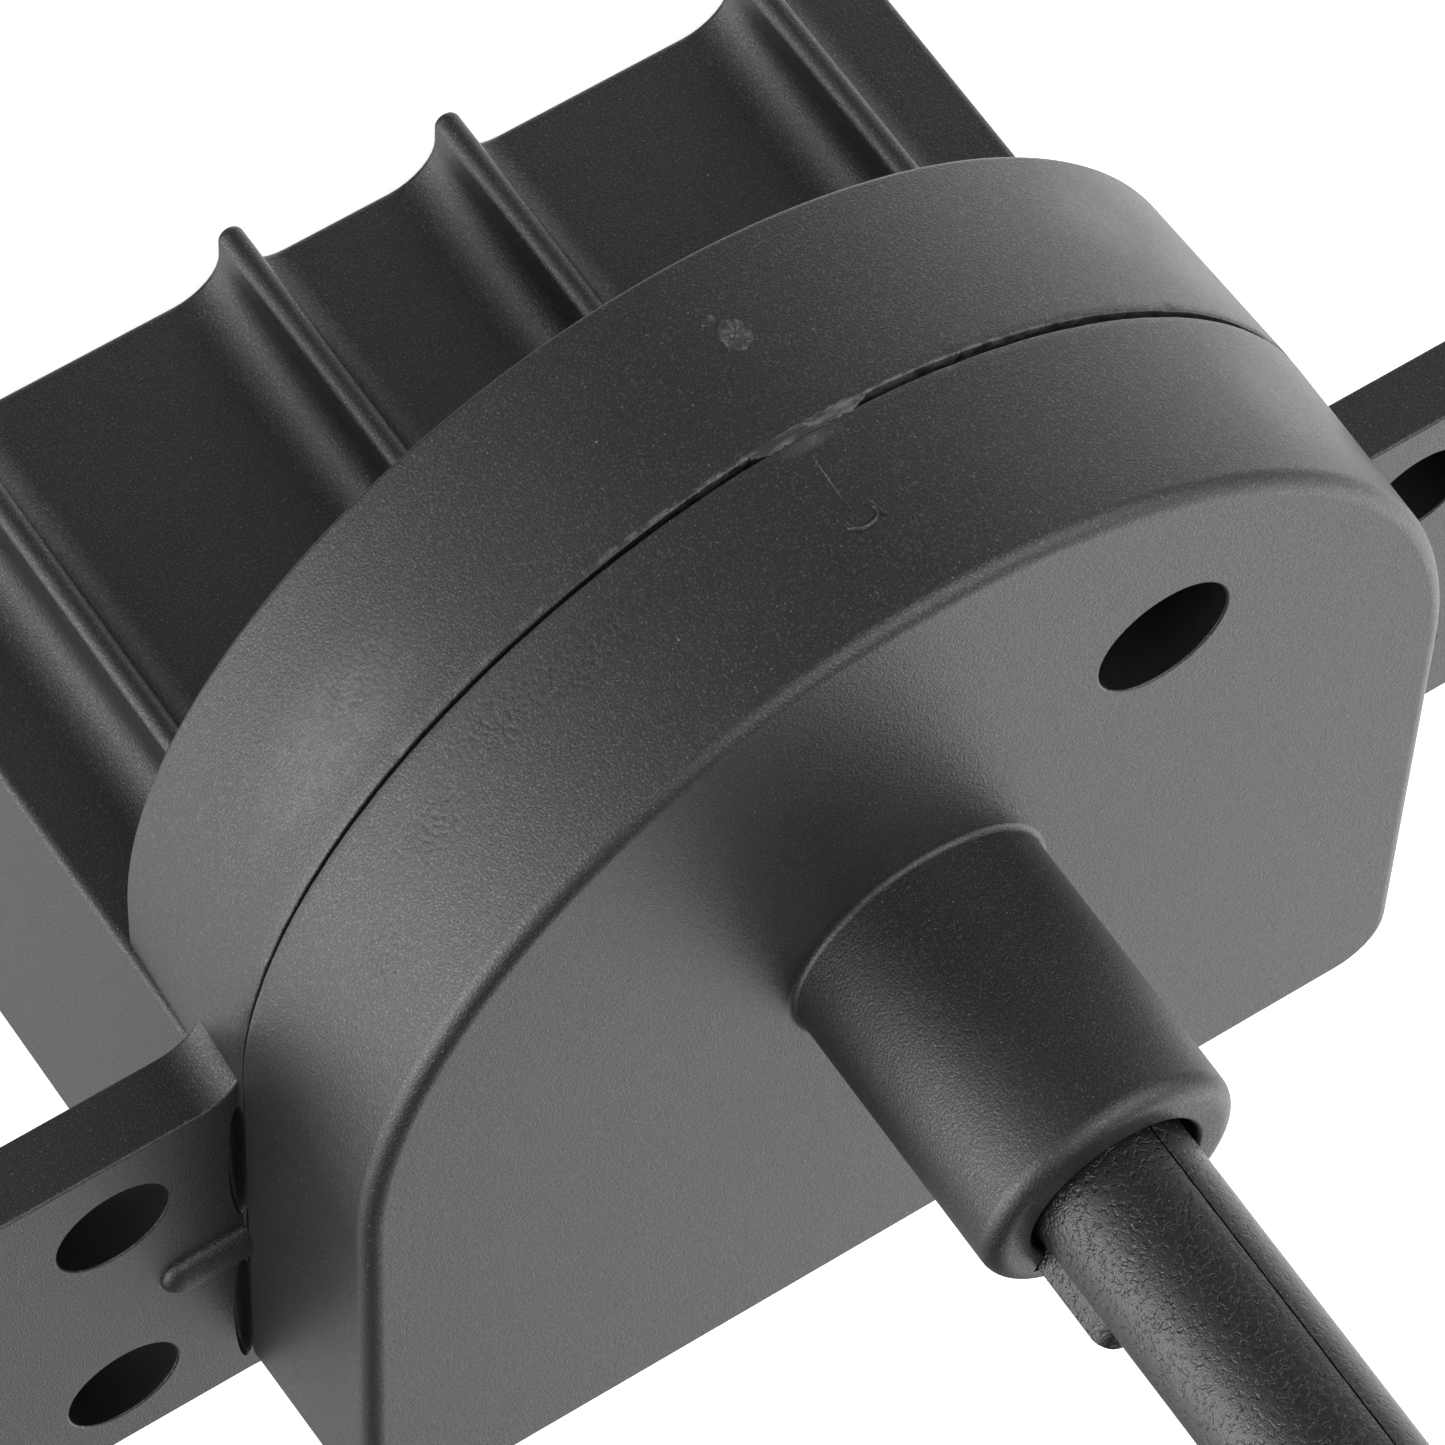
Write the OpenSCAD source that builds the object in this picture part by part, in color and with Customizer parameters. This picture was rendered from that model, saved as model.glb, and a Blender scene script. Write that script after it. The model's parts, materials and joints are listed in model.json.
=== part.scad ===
/* [Housing] */
// Width of the housing across its straight sides
housing_w = 62; // [61:0.5:64]
// Distance from the rotor axis to the flat back of the housing
back_drop = 31.2; // [31:0.1:32]
// Distance from the rotor axis to the centre of the arched top
arch_drop = 0.9; // [0.5:0.1:1.5]
// Depth of the rear half, behind the parting plane
rear_depth = 10.75; // [10.5:0.25:12]
// Depth of the front half, from the parting plane to the front face
front_depth = 11; // [10.5:0.25:12]
// Width of the open line between the two halves
parting_gap = 0.4; // [0.3:0.05:0.5]
// Wall of both halves
wall = 2.6; // [2.4:0.1:2.8]
// How much narrower the rear half is at its back edge, on each side
rear_taper = 0.46; // [0.3:0.02:0.6]
// How much narrower the front half is at its face, on each side
front_taper = 0.17; // [0.1:0.01:0.3]
// Rounding of the front edge
edge_r = 1; // [0.6:0.1:1.4]
// Rounding of the two lower corners
corner_r = 3.2; // [2:0.1:4]

/* [Ears] */
// Length of each ear outside the housing
ear_w = 17; // [16:0.5:20]
// Thickness of the ears
ear_t = 3.75; // [3.5:0.05:4]
// Top edge of the ears, below the rotor axis
ear_top_drop = 2.55; // [2:0.05:4]
// Distance of the ear holes from the middle plane
hole_x = 38.1; // [38:0.1:39]
// Distance between the two holes of one ear
hole_pitch = 16.6; // [16:0.1:17]
// Middle of the ear holes, below the rotor axis
hole_mid_drop = 17; // [16.8:0.1:17.2]
// Diameter of the ear holes
hole_d = 6.2; // [5.8:0.1:6.4]

/* [Foot] */
// Length of the ribbed foot behind the parting plane
foot_len = 40.4; // [39:0.2:42]
// Floor of the rib channels, below the rotor axis
foot_top_drop = 4.3; // [4.1:0.1:4.6]
// Height of the ribs
rib_h = 4.5; // [4:0.1:5]
// Thickness of a rib at its tip
rib_t = 1.4; // [1.2:0.1:1.6]
// Radius of the fillet at the root of a rib
rib_fillet = 2.6; // [2:0.1:3]
// Distance of the two inner ribs from the middle plane
inner_rib_x = 6.35; // [6:0.05:7]
// Distance of the two outer ribs from the middle plane
outer_rib_x = 24; // [23.5:0.1:24.2]

/* [Cable outlet] */
// Sideways place of the outlet, towards the left of the arch
outlet_x = 12.9; // [12.5:0.1:13]
// Height of the outlet above the rotor axis
outlet_rise = 15.1; // [15:0.1:15.5]
// Diameter of the outlet
outlet_d = 7.2; // [7:0.1:7.4]
// Length of the outlet's guided bore
outlet_len = 5; // [4:0.5:5]

/* [Boss and mast] */
// Outer diameter of the boss
boss_d = 14.1; // [14:0.1:15]
// Length of the boss in front of the front face
boss_len = 16.4; // [16:0.2:18]
// Rounding of the boss's end
boss_edge_r = 1.1; // [0.6:0.1:1.2]
// Outer diameter of the mast tube
mast_d = 8.5; // [8.4:0.05:8.6]
// Inner diameter of the mast tube
mast_bore_d = 5.2; // [5:0.1:5.4]
// Length of the mast in front of the boss
mast_len = 74; // [70:1:90]
// Direction of the mast's split, from the arch's crown towards the outlet
split_angle = 26; // [24:1:28]
// Open width of the split
split_gap = 0.12; // [0.1:0.01:0.2]
// Width of the key below the mast
key_w = 4.4; // [4.2:0.1:4.6]
// Height of the key over the mast's surface
key_h = 1.05; // [1:0.05:1.2]
// Length of the key in front of the boss
key_len = 5.4; // [4:0.2:8]

/* [Rotor] */
// Diameter of the shaft
shaft_d = 3; // [3:3]
// Distance from the rotor axis to the middle of a cup
cup_orbit = 45; // [43:1:50]
// Outer radius of a cup
cup_r = 17; // [16:0.5:18]
// Wall of a cup
cup_wall = 1.2; // [1:0.1:1.5]
// Diameter of the rim bead around a cup's mouth
cup_rim_d = 36.4; // [36.2:0.2:38]
// How far a cup's mouth lies in front of its arm
mouth_offset = 3; // [2.5:0.5:4]
// Diameter of an arm rod
arm_d = 3; // [2.8:0.1:3.2]
// Radius of the hub
hub_r = 11; // [10.5:0.5:12]
// Direction of the first arm, seen from the rotor's end
first_arm_angle = 90; // [80:5:100]

/* [Circuit] */
// Half width of the circuit board
board_half_w = 20; // [19:0.5:20]
// Thickness of the circuit board
board_t = 1.6; // [1:0.1:1.6]
// Height of the board's underside
board_z = 8; // [8:0.1:8.2]

/* [Hidden] */
$fn = 96;

seat_gap = 0.03;
half_w = housing_w / 2;
inner_r = half_w - wall;
inner_back = back_drop - wall;

// Heights along the rotor axis, from the back face of the ears
part_z = ear_t;
rear_z = part_z - rear_depth;
rear_floor_z = rear_z + 2.4;
front_z = part_z + parting_gap;
face_z = part_z + front_depth;
face_inner_z = face_z - wall;
boss_z = face_z + boss_len;
foot_z = part_z - foot_len;

// Screws that hold the two halves together, as [across, below the rotor axis]
upper_screw = [20.5, -12.5];
lower_screw = [24.6, 24.8];
screw_post_r = 3.4;
head_post_r = 4.4;
head_seat_z = rear_z + 3;
screw_d = 2.9;

// Foot cavity and its cover
foot_wall = 2.5;
foot_cover_t = 2.2;
foot_cover_z = foot_z + 2;
foot_mid_drop = (foot_top_drop + back_drop) / 2;
cover_screw_x = 22;

// Lower bearing, in the front half
bearing_w = 4;
bearing_r = 4;
bearing_z = 4.05;
bearing_seat_r = 6.5;
retainer_t = 1.2;
retainer_z = 2.85;
retainer_post_x = 9.5;

// Mast and upper bearing
mast_r = mast_d / 2;
mast_bore_r = mast_bore_d / 2;
mast_foot_z = 9.6;
mast_top_z = boss_z + mast_len;
top_bearing_w = 2.5;
top_bearing_r = 3;
top_lip = 1.2;
top_bearing_z = mast_top_z - top_lip - top_bearing_w;
mouth_r = mast_r + 0.55;
mouth_depth = 2.6;
collar_r = mast_r + 0.95;
collar_h = 7;

// Rotor
shaft_r = shaft_d / 2;
shaft_foot_z = -3.2;
wheel_r = 14;
wheel_t = 3;
wheel_z = -2.2;
magnet_r = 2;
magnet_t = 2;
magnet_orbit = 11.5;
hub_foot_z = mast_top_z + 1.5;
arm_z = hub_foot_z + 5.5;
hub_top_z = arm_z + 4.5;
shaft_top_z = hub_top_z - 0.6;
skirt_r = collar_r + 1.9;
skirt_bore_r = collar_r + 0.7;
skirt_foot_z = mast_top_z - 6.5;
arm_root = 4.5;
arm_r = arm_d / 2;
socket_r = arm_r + 1.3;
socket_len = 6;
clamp_screw_orbit = 7.4;

// Circuit
board_notch_r = 12.6;
board_top = -3;
board_bottom = 26;
board_post = [[16.5, 1.5], [16, 22.5]];
reed_drop = 14.4;
reed_z = 6.3;
terminal_pos = [-8, 20.5];

// The rotor axis stands above the middle of the ear holes
module about_axis() {
    translate([0, -hole_mid_drop, 0]) children();
}

module both_sides() {
    children();
    mirror([1, 0, 0]) children();
}

module ring(outer, inner, z, h) {
    translate([0, 0, z]) difference() {
        cylinder(r = outer, h = h);
        translate([0, 0, -1]) cylinder(r = inner, h = h + 2);
    }
}

// Arched outline with a flat back, as used by cavities and the gasket
module arch_outline(r, back) {
    translate([0, arch_drop]) circle(r = r);
    translate([-r, arch_drop]) square([2 * r, back - arch_drop]);
}

// Solid of the arched outline whose wall follows a profile of [radius, height]
module arch_solid(profile) {
    mirrored = [for (i = [len(profile) - 1:-1:0]) [-profile[i][0], profile[i][1]]];
    translate([0, arch_drop, 0]) rotate([0, 0, 180])
        rotate_extrude(angle = 180) polygon(concat([[0, profile[0][1]]], profile,
            [[0, profile[len(profile) - 1][1]]]));
    translate([0, back_drop, 0]) rotate([90, 0, 0])
        linear_extrude(height = back_drop - arch_drop) polygon(concat(profile, mirrored));
}

// Cutter that rounds one lower corner of the housing
module corner_cut(z, h) {
    c = [half_w - corner_r, back_drop - corner_r];
    arc = [for (i = [0:6]) [c[0] + corner_r * cos(15 * i), c[1] + corner_r * sin(15 * i)]];
    translate([0, 0, z]) linear_extrude(height = h)
        polygon(concat([[half_w + 1, c[1]]], arc, [[c[0], back_drop + 1],
            [half_w + 1, back_drop + 1]]));
}

module at_screws() {
    both_sides() translate([upper_screw[0], upper_screw[1], 0]) children();
    both_sides() translate([lower_screw[0], lower_screw[1], 0]) children();
}

// Pan-head screw that points up, with its head's underside at the origin
module screw(d, head_d, head_h, shank_len) {
    difference() {
        union() {
            translate([0, 0, -head_h]) cylinder(d = head_d, h = head_h);
            cylinder(d = d, h = shank_len);
        }
        for (a = [0, 90]) rotate([0, 0, a])
            translate([-head_d * 0.3, -head_d * 0.07, -head_h - 1])
                cube([head_d * 0.6, head_d * 0.14, 1 + head_h * 0.6]);
    }
}

// One ear with its top fillet, in the right half
module ear() {
    fillet = 2.5;
    tip_r = 4;
    end_x = half_w + ear_w;
    difference() {
        linear_extrude(height = ear_t) polygon(concat(
            [[half_w - 3, back_drop], [half_w - 3, ear_top_drop - fillet]],
            [for (i = [0:6]) [half_w + fillet - fillet * cos(15 * i),
                ear_top_drop - fillet + fillet * sin(15 * i)]],
            [for (i = [0:6]) [end_x - tip_r + tip_r * sin(15 * i),
                ear_top_drop + tip_r - tip_r * cos(15 * i)]],
            [for (i = [0:6]) [end_x - tip_r + tip_r * cos(15 * i),
                back_drop - tip_r + tip_r * sin(15 * i)]]));
        for (side = [-1, 1])
            translate([hole_x, hole_mid_drop + side * hole_pitch / 2, -1])
                cylinder(d = hole_d, h = ear_t + 2);
    }
}

// Small rounded rib on the ear's front face, between its holes
module ear_rib() {
    rib_end_x = half_w + 3.2;
    translate([rib_end_x, hole_mid_drop, ear_t - 1]) cylinder(r = 1.5, h = 1.8);
    translate([half_w + 0.3, hole_mid_drop - 1.5, ear_t - 1]) cube([2.9, 3, 1.8]);
}

// One rib of the foot with fillets at its root
module foot_rib() {
    half = rib_t / 2;
    side = [for (i = [0:6]) [half + rib_fillet - rib_fillet * cos(15 * i),
        -rib_fillet + rib_fillet * sin(15 * i)]];
    far_side = [for (i = [6:-1:0]) [-side[i][0], side[i][1]]];
    translate([0, foot_top_drop, foot_z]) linear_extrude(height = rear_z - foot_z + 1)
        polygon(concat([[half, -rib_h]], side, [[half + rib_fillet, 1],
            [-half - rib_fillet, 1]], far_side, [[-half, -rib_h]]));
}

module rear_housing() {
    color("#2b2c2e") about_axis() difference() {
        union() {
            arch_solid([[half_w - rear_taper, rear_z], [half_w, part_z]]);
            translate([-half_w, foot_top_drop, foot_z])
                cube([housing_w, back_drop - foot_top_drop, -foot_z]);
            for (x = [-outer_rib_x, -inner_rib_x, inner_rib_x, outer_rib_x])
                translate([x, 0, 0]) foot_rib();
            both_sides() ear();
            both_sides() ear_rib();
        }
        difference() {
            translate([0, 0, rear_floor_z]) linear_extrude(height = 20)
                arch_outline(inner_r, inner_back);
            at_screws() translate([0, 0, rear_floor_z - 1])
                cylinder(r = head_post_r, h = part_z - rear_floor_z + 1);
        }
        difference() {
            translate([-half_w + foot_wall, foot_top_drop + foot_wall, foot_z - 1])
                cube([housing_w - 2 * foot_wall, back_drop - foot_top_drop - 2 * foot_wall,
                    rear_z - foot_z + 1]);
            both_sides() translate([cover_screw_x, foot_mid_drop, foot_cover_z + foot_cover_t])
                cylinder(r = 3, h = rear_z - foot_cover_z);
        }
        both_sides() translate([cover_screw_x, foot_mid_drop, foot_z - 1])
            cylinder(r = 1, h = 14);
        at_screws() translate([0, 0, rear_z - 1]) cylinder(d = screw_d + 0.3, h = 20);
        at_screws() translate([0, 0, rear_z - 1]) cylinder(r = 3.1, h = head_seat_z - rear_z + 1);
    }
}

// Bored nose of the front half: the boss outside and the bearing seat inside
module boss_solid() {
    r = boss_d / 2;
    c = [r - boss_edge_r, boss_z - boss_edge_r];
    rotate_extrude() polygon(concat([[0, face_z - 1], [r, face_z - 1]],
        [for (i = [0:6]) [c[0] + boss_edge_r * cos(15 * i), c[1] + boss_edge_r * sin(15 * i)]],
        [[0, boss_z]]));
    translate([0, 0, bearing_z - 0.05]) cylinder(r = bearing_seat_r, h = face_z - bearing_z);
}

module boss_bores() {
    translate([0, 0, bearing_z - 1]) cylinder(r = bearing_r + seat_gap, h = bearing_w + 1);
    translate([0, 0, bearing_z]) cylinder(r = 3, h = 20);
    translate([0, 0, mast_foot_z]) cylinder(r = mast_r + seat_gap, h = 40);
    translate([0, 0, boss_z - mouth_depth]) cylinder(r = mouth_r, h = mouth_depth + 1);
    split_frame() translate([-key_w / 2 - 0.1, -mast_r - key_h - 0.1, face_inner_z + 1])
        cube([key_w + 0.2, mast_r, 40]);
}

module front_housing() {
    c = [half_w - front_taper - edge_r, face_z - edge_r];
    color("#2d2e30") about_axis() difference() {
        union() {
            difference() {
                arch_solid(concat([[half_w, front_z]],
                    [for (i = [0:6]) [c[0] + edge_r * cos(15 * i), c[1] + edge_r * sin(15 * i)]]));
                both_sides() corner_cut(front_z - 1, front_depth + 2);
                translate([0, 0, front_z - 1]) linear_extrude(height = face_inner_z - front_z + 1)
                    arch_outline(inner_r, inner_back);
            }
            at_screws() translate([0, 0, front_z])
                cylinder(r = screw_post_r, h = face_z - front_z - 1.5);
            for (p = board_post) both_sides() translate([p[0], p[1], board_z + board_t])
                cylinder(r = 2.5, h = face_z - board_z - board_t - 1.5);
            both_sides() translate([retainer_post_x, 0, bearing_z - 0.05])
                cylinder(r = 2.5, h = face_z - bearing_z - 1);
            translate([-outlet_x, -outlet_rise, face_z - outlet_len])
                cylinder(d = outlet_d + 2.4, h = outlet_len - 1.5);
            boss_solid();
        }
        boss_bores();
        at_screws() translate([0, 0, front_z - 1]) cylinder(d = 2.4, h = 9);
        for (p = board_post) both_sides() translate([p[0], p[1], board_z])
            cylinder(d = 1.6, h = 5);
        both_sides() translate([retainer_post_x, 0, bearing_z - 1]) cylinder(d = 1.6, h = 7);
        translate([-outlet_x, -outlet_rise, face_z - outlet_len - 1])
            cylinder(d = outlet_d, h = outlet_len + 2);
    }
}

module housing_gasket() {
    inset = 0.9;
    color("#181818") about_axis() translate([0, 0, part_z]) linear_extrude(height = parting_gap)
        difference() {
            arch_outline(half_w - inset, back_drop - inset);
            arch_outline(inner_r + 0.1, inner_back + 0.1);
            for (side = [-1, 1]) translate([side * lower_screw[0], lower_screw[1]])
                circle(r = head_post_r + 0.1);
            for (side = [-1, 1]) translate([side * upper_screw[0], upper_screw[1]])
                circle(r = head_post_r + 0.1);
        }
}

module housing_screws() {
    color("silver") about_axis() at_screws() translate([0, 0, head_seat_z])
        screw(2.3, 5.6, 1.8, 13);
}

module foot_cover() {
    w = housing_w - 2 * foot_wall - 0.3;
    h = back_drop - foot_top_drop - 2 * foot_wall - 0.3;
    color("#27282a") about_axis() difference() {
        translate([-w / 2, foot_mid_drop - h / 2, foot_cover_z])
            cube([w, h, foot_cover_t - 0.03]);
        both_sides() translate([cover_screw_x, foot_mid_drop, foot_z - 1])
            cylinder(d = 2.5, h = 8);
    }
}

module foot_cover_screws() {
    color("silver") about_axis() both_sides()
        translate([cover_screw_x, foot_mid_drop, foot_cover_z - 0.03]) screw(1.9, 4.2, 1.3, 10);
}

// Frame whose +Y axis points to the mast's visible split
module split_frame() {
    rotate([0, 0, 180 - split_angle]) children();
}

// Half of the split mast: side 1 and -1 are the +X and -X sides of the split frame
module mast_half(side) {
    half_gap = split_gap / 2;
    difference() {
        translate([0, 0, mast_foot_z]) cylinder(r = mast_r, h = mast_top_z - mast_foot_z);
        translate([0, 0, mast_foot_z - 1]) cylinder(r = mast_bore_r, h = 200);
        translate([0, 0, top_bearing_z - 0.03])
            cylinder(r = top_bearing_r + seat_gap, h = top_bearing_w + 0.06);
        translate([side > 0 ? -20 + half_gap : -half_gap, -mast_r - 0.02, 0])
            cube([20, 2 * mast_r + 0.02, 200]);
    }
}

// Key opposite the visible split: it laps over the joint and ends in a round nose
module mast_key() {
    key_end = boss_z + key_len;
    nose = 1.6;
    difference() {
        union() {
            translate([-key_w / 2, -mast_r - key_h, face_z])
                cube([key_w, mast_r, key_end - face_z - nose]);
            translate([-key_w / 2 + nose, -mast_r - key_h, key_end - nose - 1])
                cube([key_w - 2 * nose, mast_r, nose + 1]);
            for (x = [-1, 1]) translate([x * (key_w / 2 - nose), -key_h, key_end - nose])
                rotate([90, 0, 0]) cylinder(r = nose, h = mast_r);
        }
        translate([0, 0, face_z - 1]) cylinder(r = mast_bore_r, h = 60);
        translate([0, 0, face_z - 1]) difference() {
            cylinder(r = mast_r + seat_gap, h = 60);
            translate([-20, -20, -1]) cube([20 - split_gap / 2, 40, 80]);
        }
    }
}

module mast_left_shell() {
    color("#242527") about_axis() split_frame() mast_half(1);
}

module mast_right_shell() {
    color("#242527") about_axis() split_frame() {
        mast_half(-1);
        mast_key();
    }
}

module mast_collar() {
    color("#303133") about_axis()
        ring(collar_r, mast_r + seat_gap, mast_top_z - collar_h, collar_h - 0.5);
}

module mast_seal() {
    seal_r = 0.24;
    seal_z = boss_z - mouth_depth + seal_r + 0.02;
    color("#151515") about_axis() difference() {
        translate([0, 0, seal_z]) rotate_extrude()
            translate([mast_r + 0.27, 0]) circle(r = seal_r, $fn = 32);
        split_frame() translate([-key_w / 2 - 0.1, -mast_r - key_h, seal_z - 1])
            cube([key_w + 0.2, mast_r, 2]);
    }
}

// Outer ring of a shielded bearing
module outer_ring(outer, race, shield, z, w) {
    shield_t = 0.25;
    translate([0, 0, z]) rotate_extrude() polygon([[outer, 0], [outer, w], [shield, w],
        [shield, w - shield_t], [race, w - shield_t], [race, shield_t], [shield, shield_t],
        [shield, 0]]);
}

module lower_bearing_outer_ring() {
    color("lightgrey") about_axis() outer_ring(bearing_r, 3.36, 2.5, bearing_z, bearing_w - 0.03);
}

module upper_bearing_outer_ring() {
    color("lightgrey") about_axis()
        outer_ring(top_bearing_r, 2.74, 2.34, top_bearing_z, top_bearing_w);
}

module lower_bearing_inner_ring() {
    color("gainsboro") about_axis() ring(2.18, shaft_r + 0.02, bearing_z, bearing_w - 0.03);
}

module upper_bearing_inner_ring() {
    color("gainsboro") about_axis() ring(2, shaft_r + 0.02, top_bearing_z, top_bearing_w);
}

module ball_circle(pitch, r, z, n) {
    for (i = [0:n - 1]) rotate([0, 0, i * 360 / n]) translate([pitch, 0, z]) sphere(r = r, $fn = 32);
}

module bearing_balls() {
    color("silver") about_axis() {
        ball_circle(2.77, 0.52, bearing_z + bearing_w / 2, 8);
        ball_circle(2.37, 0.32, top_bearing_z + top_bearing_w / 2, 8);
    }
}

module bearing_retainer() {
    color("#b9bcc0") about_axis() difference() {
        union() {
            translate([0, 0, retainer_z]) cylinder(r = bearing_seat_r, h = retainer_t - 0.08);
            both_sides() translate([retainer_post_x, 0, retainer_z])
                cylinder(r = 2.5, h = retainer_t - 0.08);
            translate([-retainer_post_x, -2.5, retainer_z])
                cube([2 * retainer_post_x, 5, retainer_t - 0.08]);
        }
        translate([0, 0, retainer_z - 1]) cylinder(r = 3.3, h = 4);
        both_sides() translate([retainer_post_x, 0, retainer_z - 1]) cylinder(d = 2.2, h = 4);
    }
}

module retainer_screws() {
    color("silver") about_axis() both_sides() translate([retainer_post_x, 0, retainer_z - 0.03])
        screw(1.5, 3.6, 1.1, 6);
}

module circuit_board() {
    color("#1f5a34") about_axis() difference() {
        translate([-board_half_w, board_top, board_z])
            cube([2 * board_half_w, board_bottom - board_top, board_t - 0.03]);
        translate([0, 0, board_z - 1]) cylinder(r = board_notch_r, h = 4);
        for (p = board_post) both_sides() translate([p[0], p[1], board_z - 1])
            cylinder(d = 2.2, h = 4);
    }
}

module board_screws() {
    color("silver") about_axis() for (p = board_post) both_sides()
        translate([p[0], p[1], board_z - 0.03]) screw(1.5, 3.6, 1.1, 4.4);
}

module reed_switch() {
    leg_x = 8.5;
    color("#c9d6c8") about_axis() translate([0, reed_drop, reed_z]) {
        translate([-6.5, 0, 0]) rotate([0, 90, 0]) cylinder(r = 1.1, h = 13);
        translate([-leg_x - 0.3, 0, 0]) rotate([0, 90, 0]) cylinder(r = 0.3, h = 2 * leg_x + 0.6);
        both_sides() translate([leg_x, 0, 0]) cylinder(r = 0.3, h = board_z - reed_z - 0.03);
    }
}

module terminal_block() {
    size = [10.4, 7.6, 7.2];
    color("#2f7d4a") about_axis() translate([terminal_pos[0], terminal_pos[1], board_z - 0.03])
        difference() {
            translate([-size[0] / 2, -size[1] / 2, -size[2]]) cube(size);
            for (x = [-2.6, 2.6]) {
                translate([x, 0, -size[2] - 1]) cylinder(r = 1.9, h = 3);
                translate([x - 1.3, -size[1] / 2 - 1, -size[2] + 2.6]) cube([2.6, 4, 2.6]);
            }
        }
}

module terminal_screws() {
    color("silver") about_axis() for (x = [-2.6, 2.6])
        translate([terminal_pos[0] + x, terminal_pos[1], board_z - 6.7]) difference() {
            cylinder(r = 1.7, h = 1.4);
            translate([-2, -0.25, -1]) cube([4, 0.5, 1.6]);
        }
}

module rotor_shaft() {
    color("#c8cacd") about_axis() difference() {
        translate([0, 0, shaft_foot_z]) cylinder(r = shaft_r, h = shaft_top_z - shaft_foot_z);
        translate([0, 0, shaft_top_z - 7]) cylinder(r = 0.85, h = 8);
        ring(shaft_r + 1, shaft_r - 0.28, bearing_z - 0.68, 0.64);
    }
}

module shaft_clip() {
    color("#8f9296") about_axis() difference() {
        ring(2.75, shaft_r - 0.25, bearing_z - 0.65, 0.58);
        translate([-0.9, 0, bearing_z - 2]) cube([1.8, 5, 4]);
    }
}

module magnet_wheel() {
    color("#e4e2da") about_axis() difference() {
        union() {
            translate([0, 0, wheel_z]) cylinder(r = wheel_r, h = wheel_t);
            translate([0, 0, wheel_z]) cylinder(r = 2.9, h = wheel_t + 1.4);
        }
        translate([0, 0, wheel_z - 1]) cylinder(r = shaft_r + 0.02, h = 9);
        for (a = [0, 180]) rotate([0, 0, a])
            translate([magnet_orbit, 0, wheel_z + wheel_t - magnet_t - 0.03])
                cylinder(r = magnet_r + seat_gap, h = magnet_t + 1);
        for (a = [45:90:315]) rotate([0, 0, a]) translate([7.2, 0, wheel_z - 1])
            cylinder(r = 2.4, h = wheel_t + 2);
    }
}

module wheel_magnets() {
    color("#a9abae") about_axis() for (a = [0, 180]) rotate([0, 0, a])
        translate([magnet_orbit, 0, wheel_z + wheel_t - magnet_t]) cylinder(r = magnet_r, h = magnet_t);
}

module each_arm() {
    for (i = [0:2]) rotate([0, 0, first_arm_angle + 120 * i]) children();
}

// Grooves for the arm rods, and holes for the screws between them
module hub_cuts() {
    each_arm() translate([0, 0, arm_z]) rotate([0, 90, 0]) cylinder(r = arm_r + seat_gap, h = hub_r + 2);
    translate([0, 0, hub_foot_z - 9]) cylinder(r = shaft_r + 0.02, h = 40);
}

module hub_base() {
    color("#26272a") about_axis() difference() {
        union() {
            translate([0, 0, hub_foot_z]) cylinder(r = hub_r, h = arm_z - hub_foot_z - 0.02);
            ring(skirt_r, skirt_bore_r, skirt_foot_z, hub_foot_z - skirt_foot_z + 1);
            translate([0, 0, top_bearing_z + top_bearing_w + 0.02])
                cylinder(r = 2, h = hub_foot_z - top_bearing_z - top_bearing_w);
        }
        hub_cuts();
        each_arm() rotate([0, 0, 60]) translate([clamp_screw_orbit, 0, hub_foot_z + 1.2])
            cylinder(r = 0.9, h = 20);
    }
}

module hub_clamp() {
    color("#26272a") about_axis() difference() {
        translate([0, 0, arm_z + 0.02]) cylinder(r = hub_r, h = hub_top_z - arm_z - 0.02);
        hub_cuts();
        each_arm() rotate([0, 0, 60]) translate([clamp_screw_orbit, 0, arm_z - 1])
            cylinder(r = 1.1, h = 20);
        each_arm() rotate([0, 0, 60]) translate([clamp_screw_orbit, 0, hub_top_z - 1.4])
            cylinder(r = 2, h = 3);
    }
}

// Domed cap, hollow over the screw heads
module hub_cap() {
    dome_h = 5;
    dome_r = (hub_r * hub_r + dome_h * dome_h) / (2 * dome_h);
    color("#26272a") about_axis() translate([0, 0, hub_top_z + 0.02]) difference() {
        intersection() {
            translate([0, 0, dome_h - dome_r]) sphere(r = dome_r);
            cylinder(r = hub_r + 1, h = dome_h + 1);
        }
        translate([0, 0, -1]) cylinder(r = 5, h = 3.4);
    }
}

module hub_washer() {
    color("silver") about_axis() ring(3, 1.1, hub_top_z + 0.04, 0.5);
}

module hub_screw() {
    color("silver") about_axis() translate([0, 0, hub_top_z + 0.57])
        mirror([0, 0, 1]) screw(1.6, 3.8, 1.3, 6);
}

module clamp_screws() {
    color("silver") about_axis() each_arm() rotate([0, 0, 60])
        translate([clamp_screw_orbit, 0, hub_top_z - 1.37])
            mirror([0, 0, 1]) screw(1.7, 3.6, 1.2, 6);
}

module arm(i) {
    color("#c8cacd") about_axis() rotate([0, 0, first_arm_angle + 120 * i])
        translate([arm_root, 0, arm_z]) rotate([0, 90, 0])
            cylinder(r = arm_r, h = cup_orbit - cup_r + 0.2 - arm_root);
}

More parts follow.
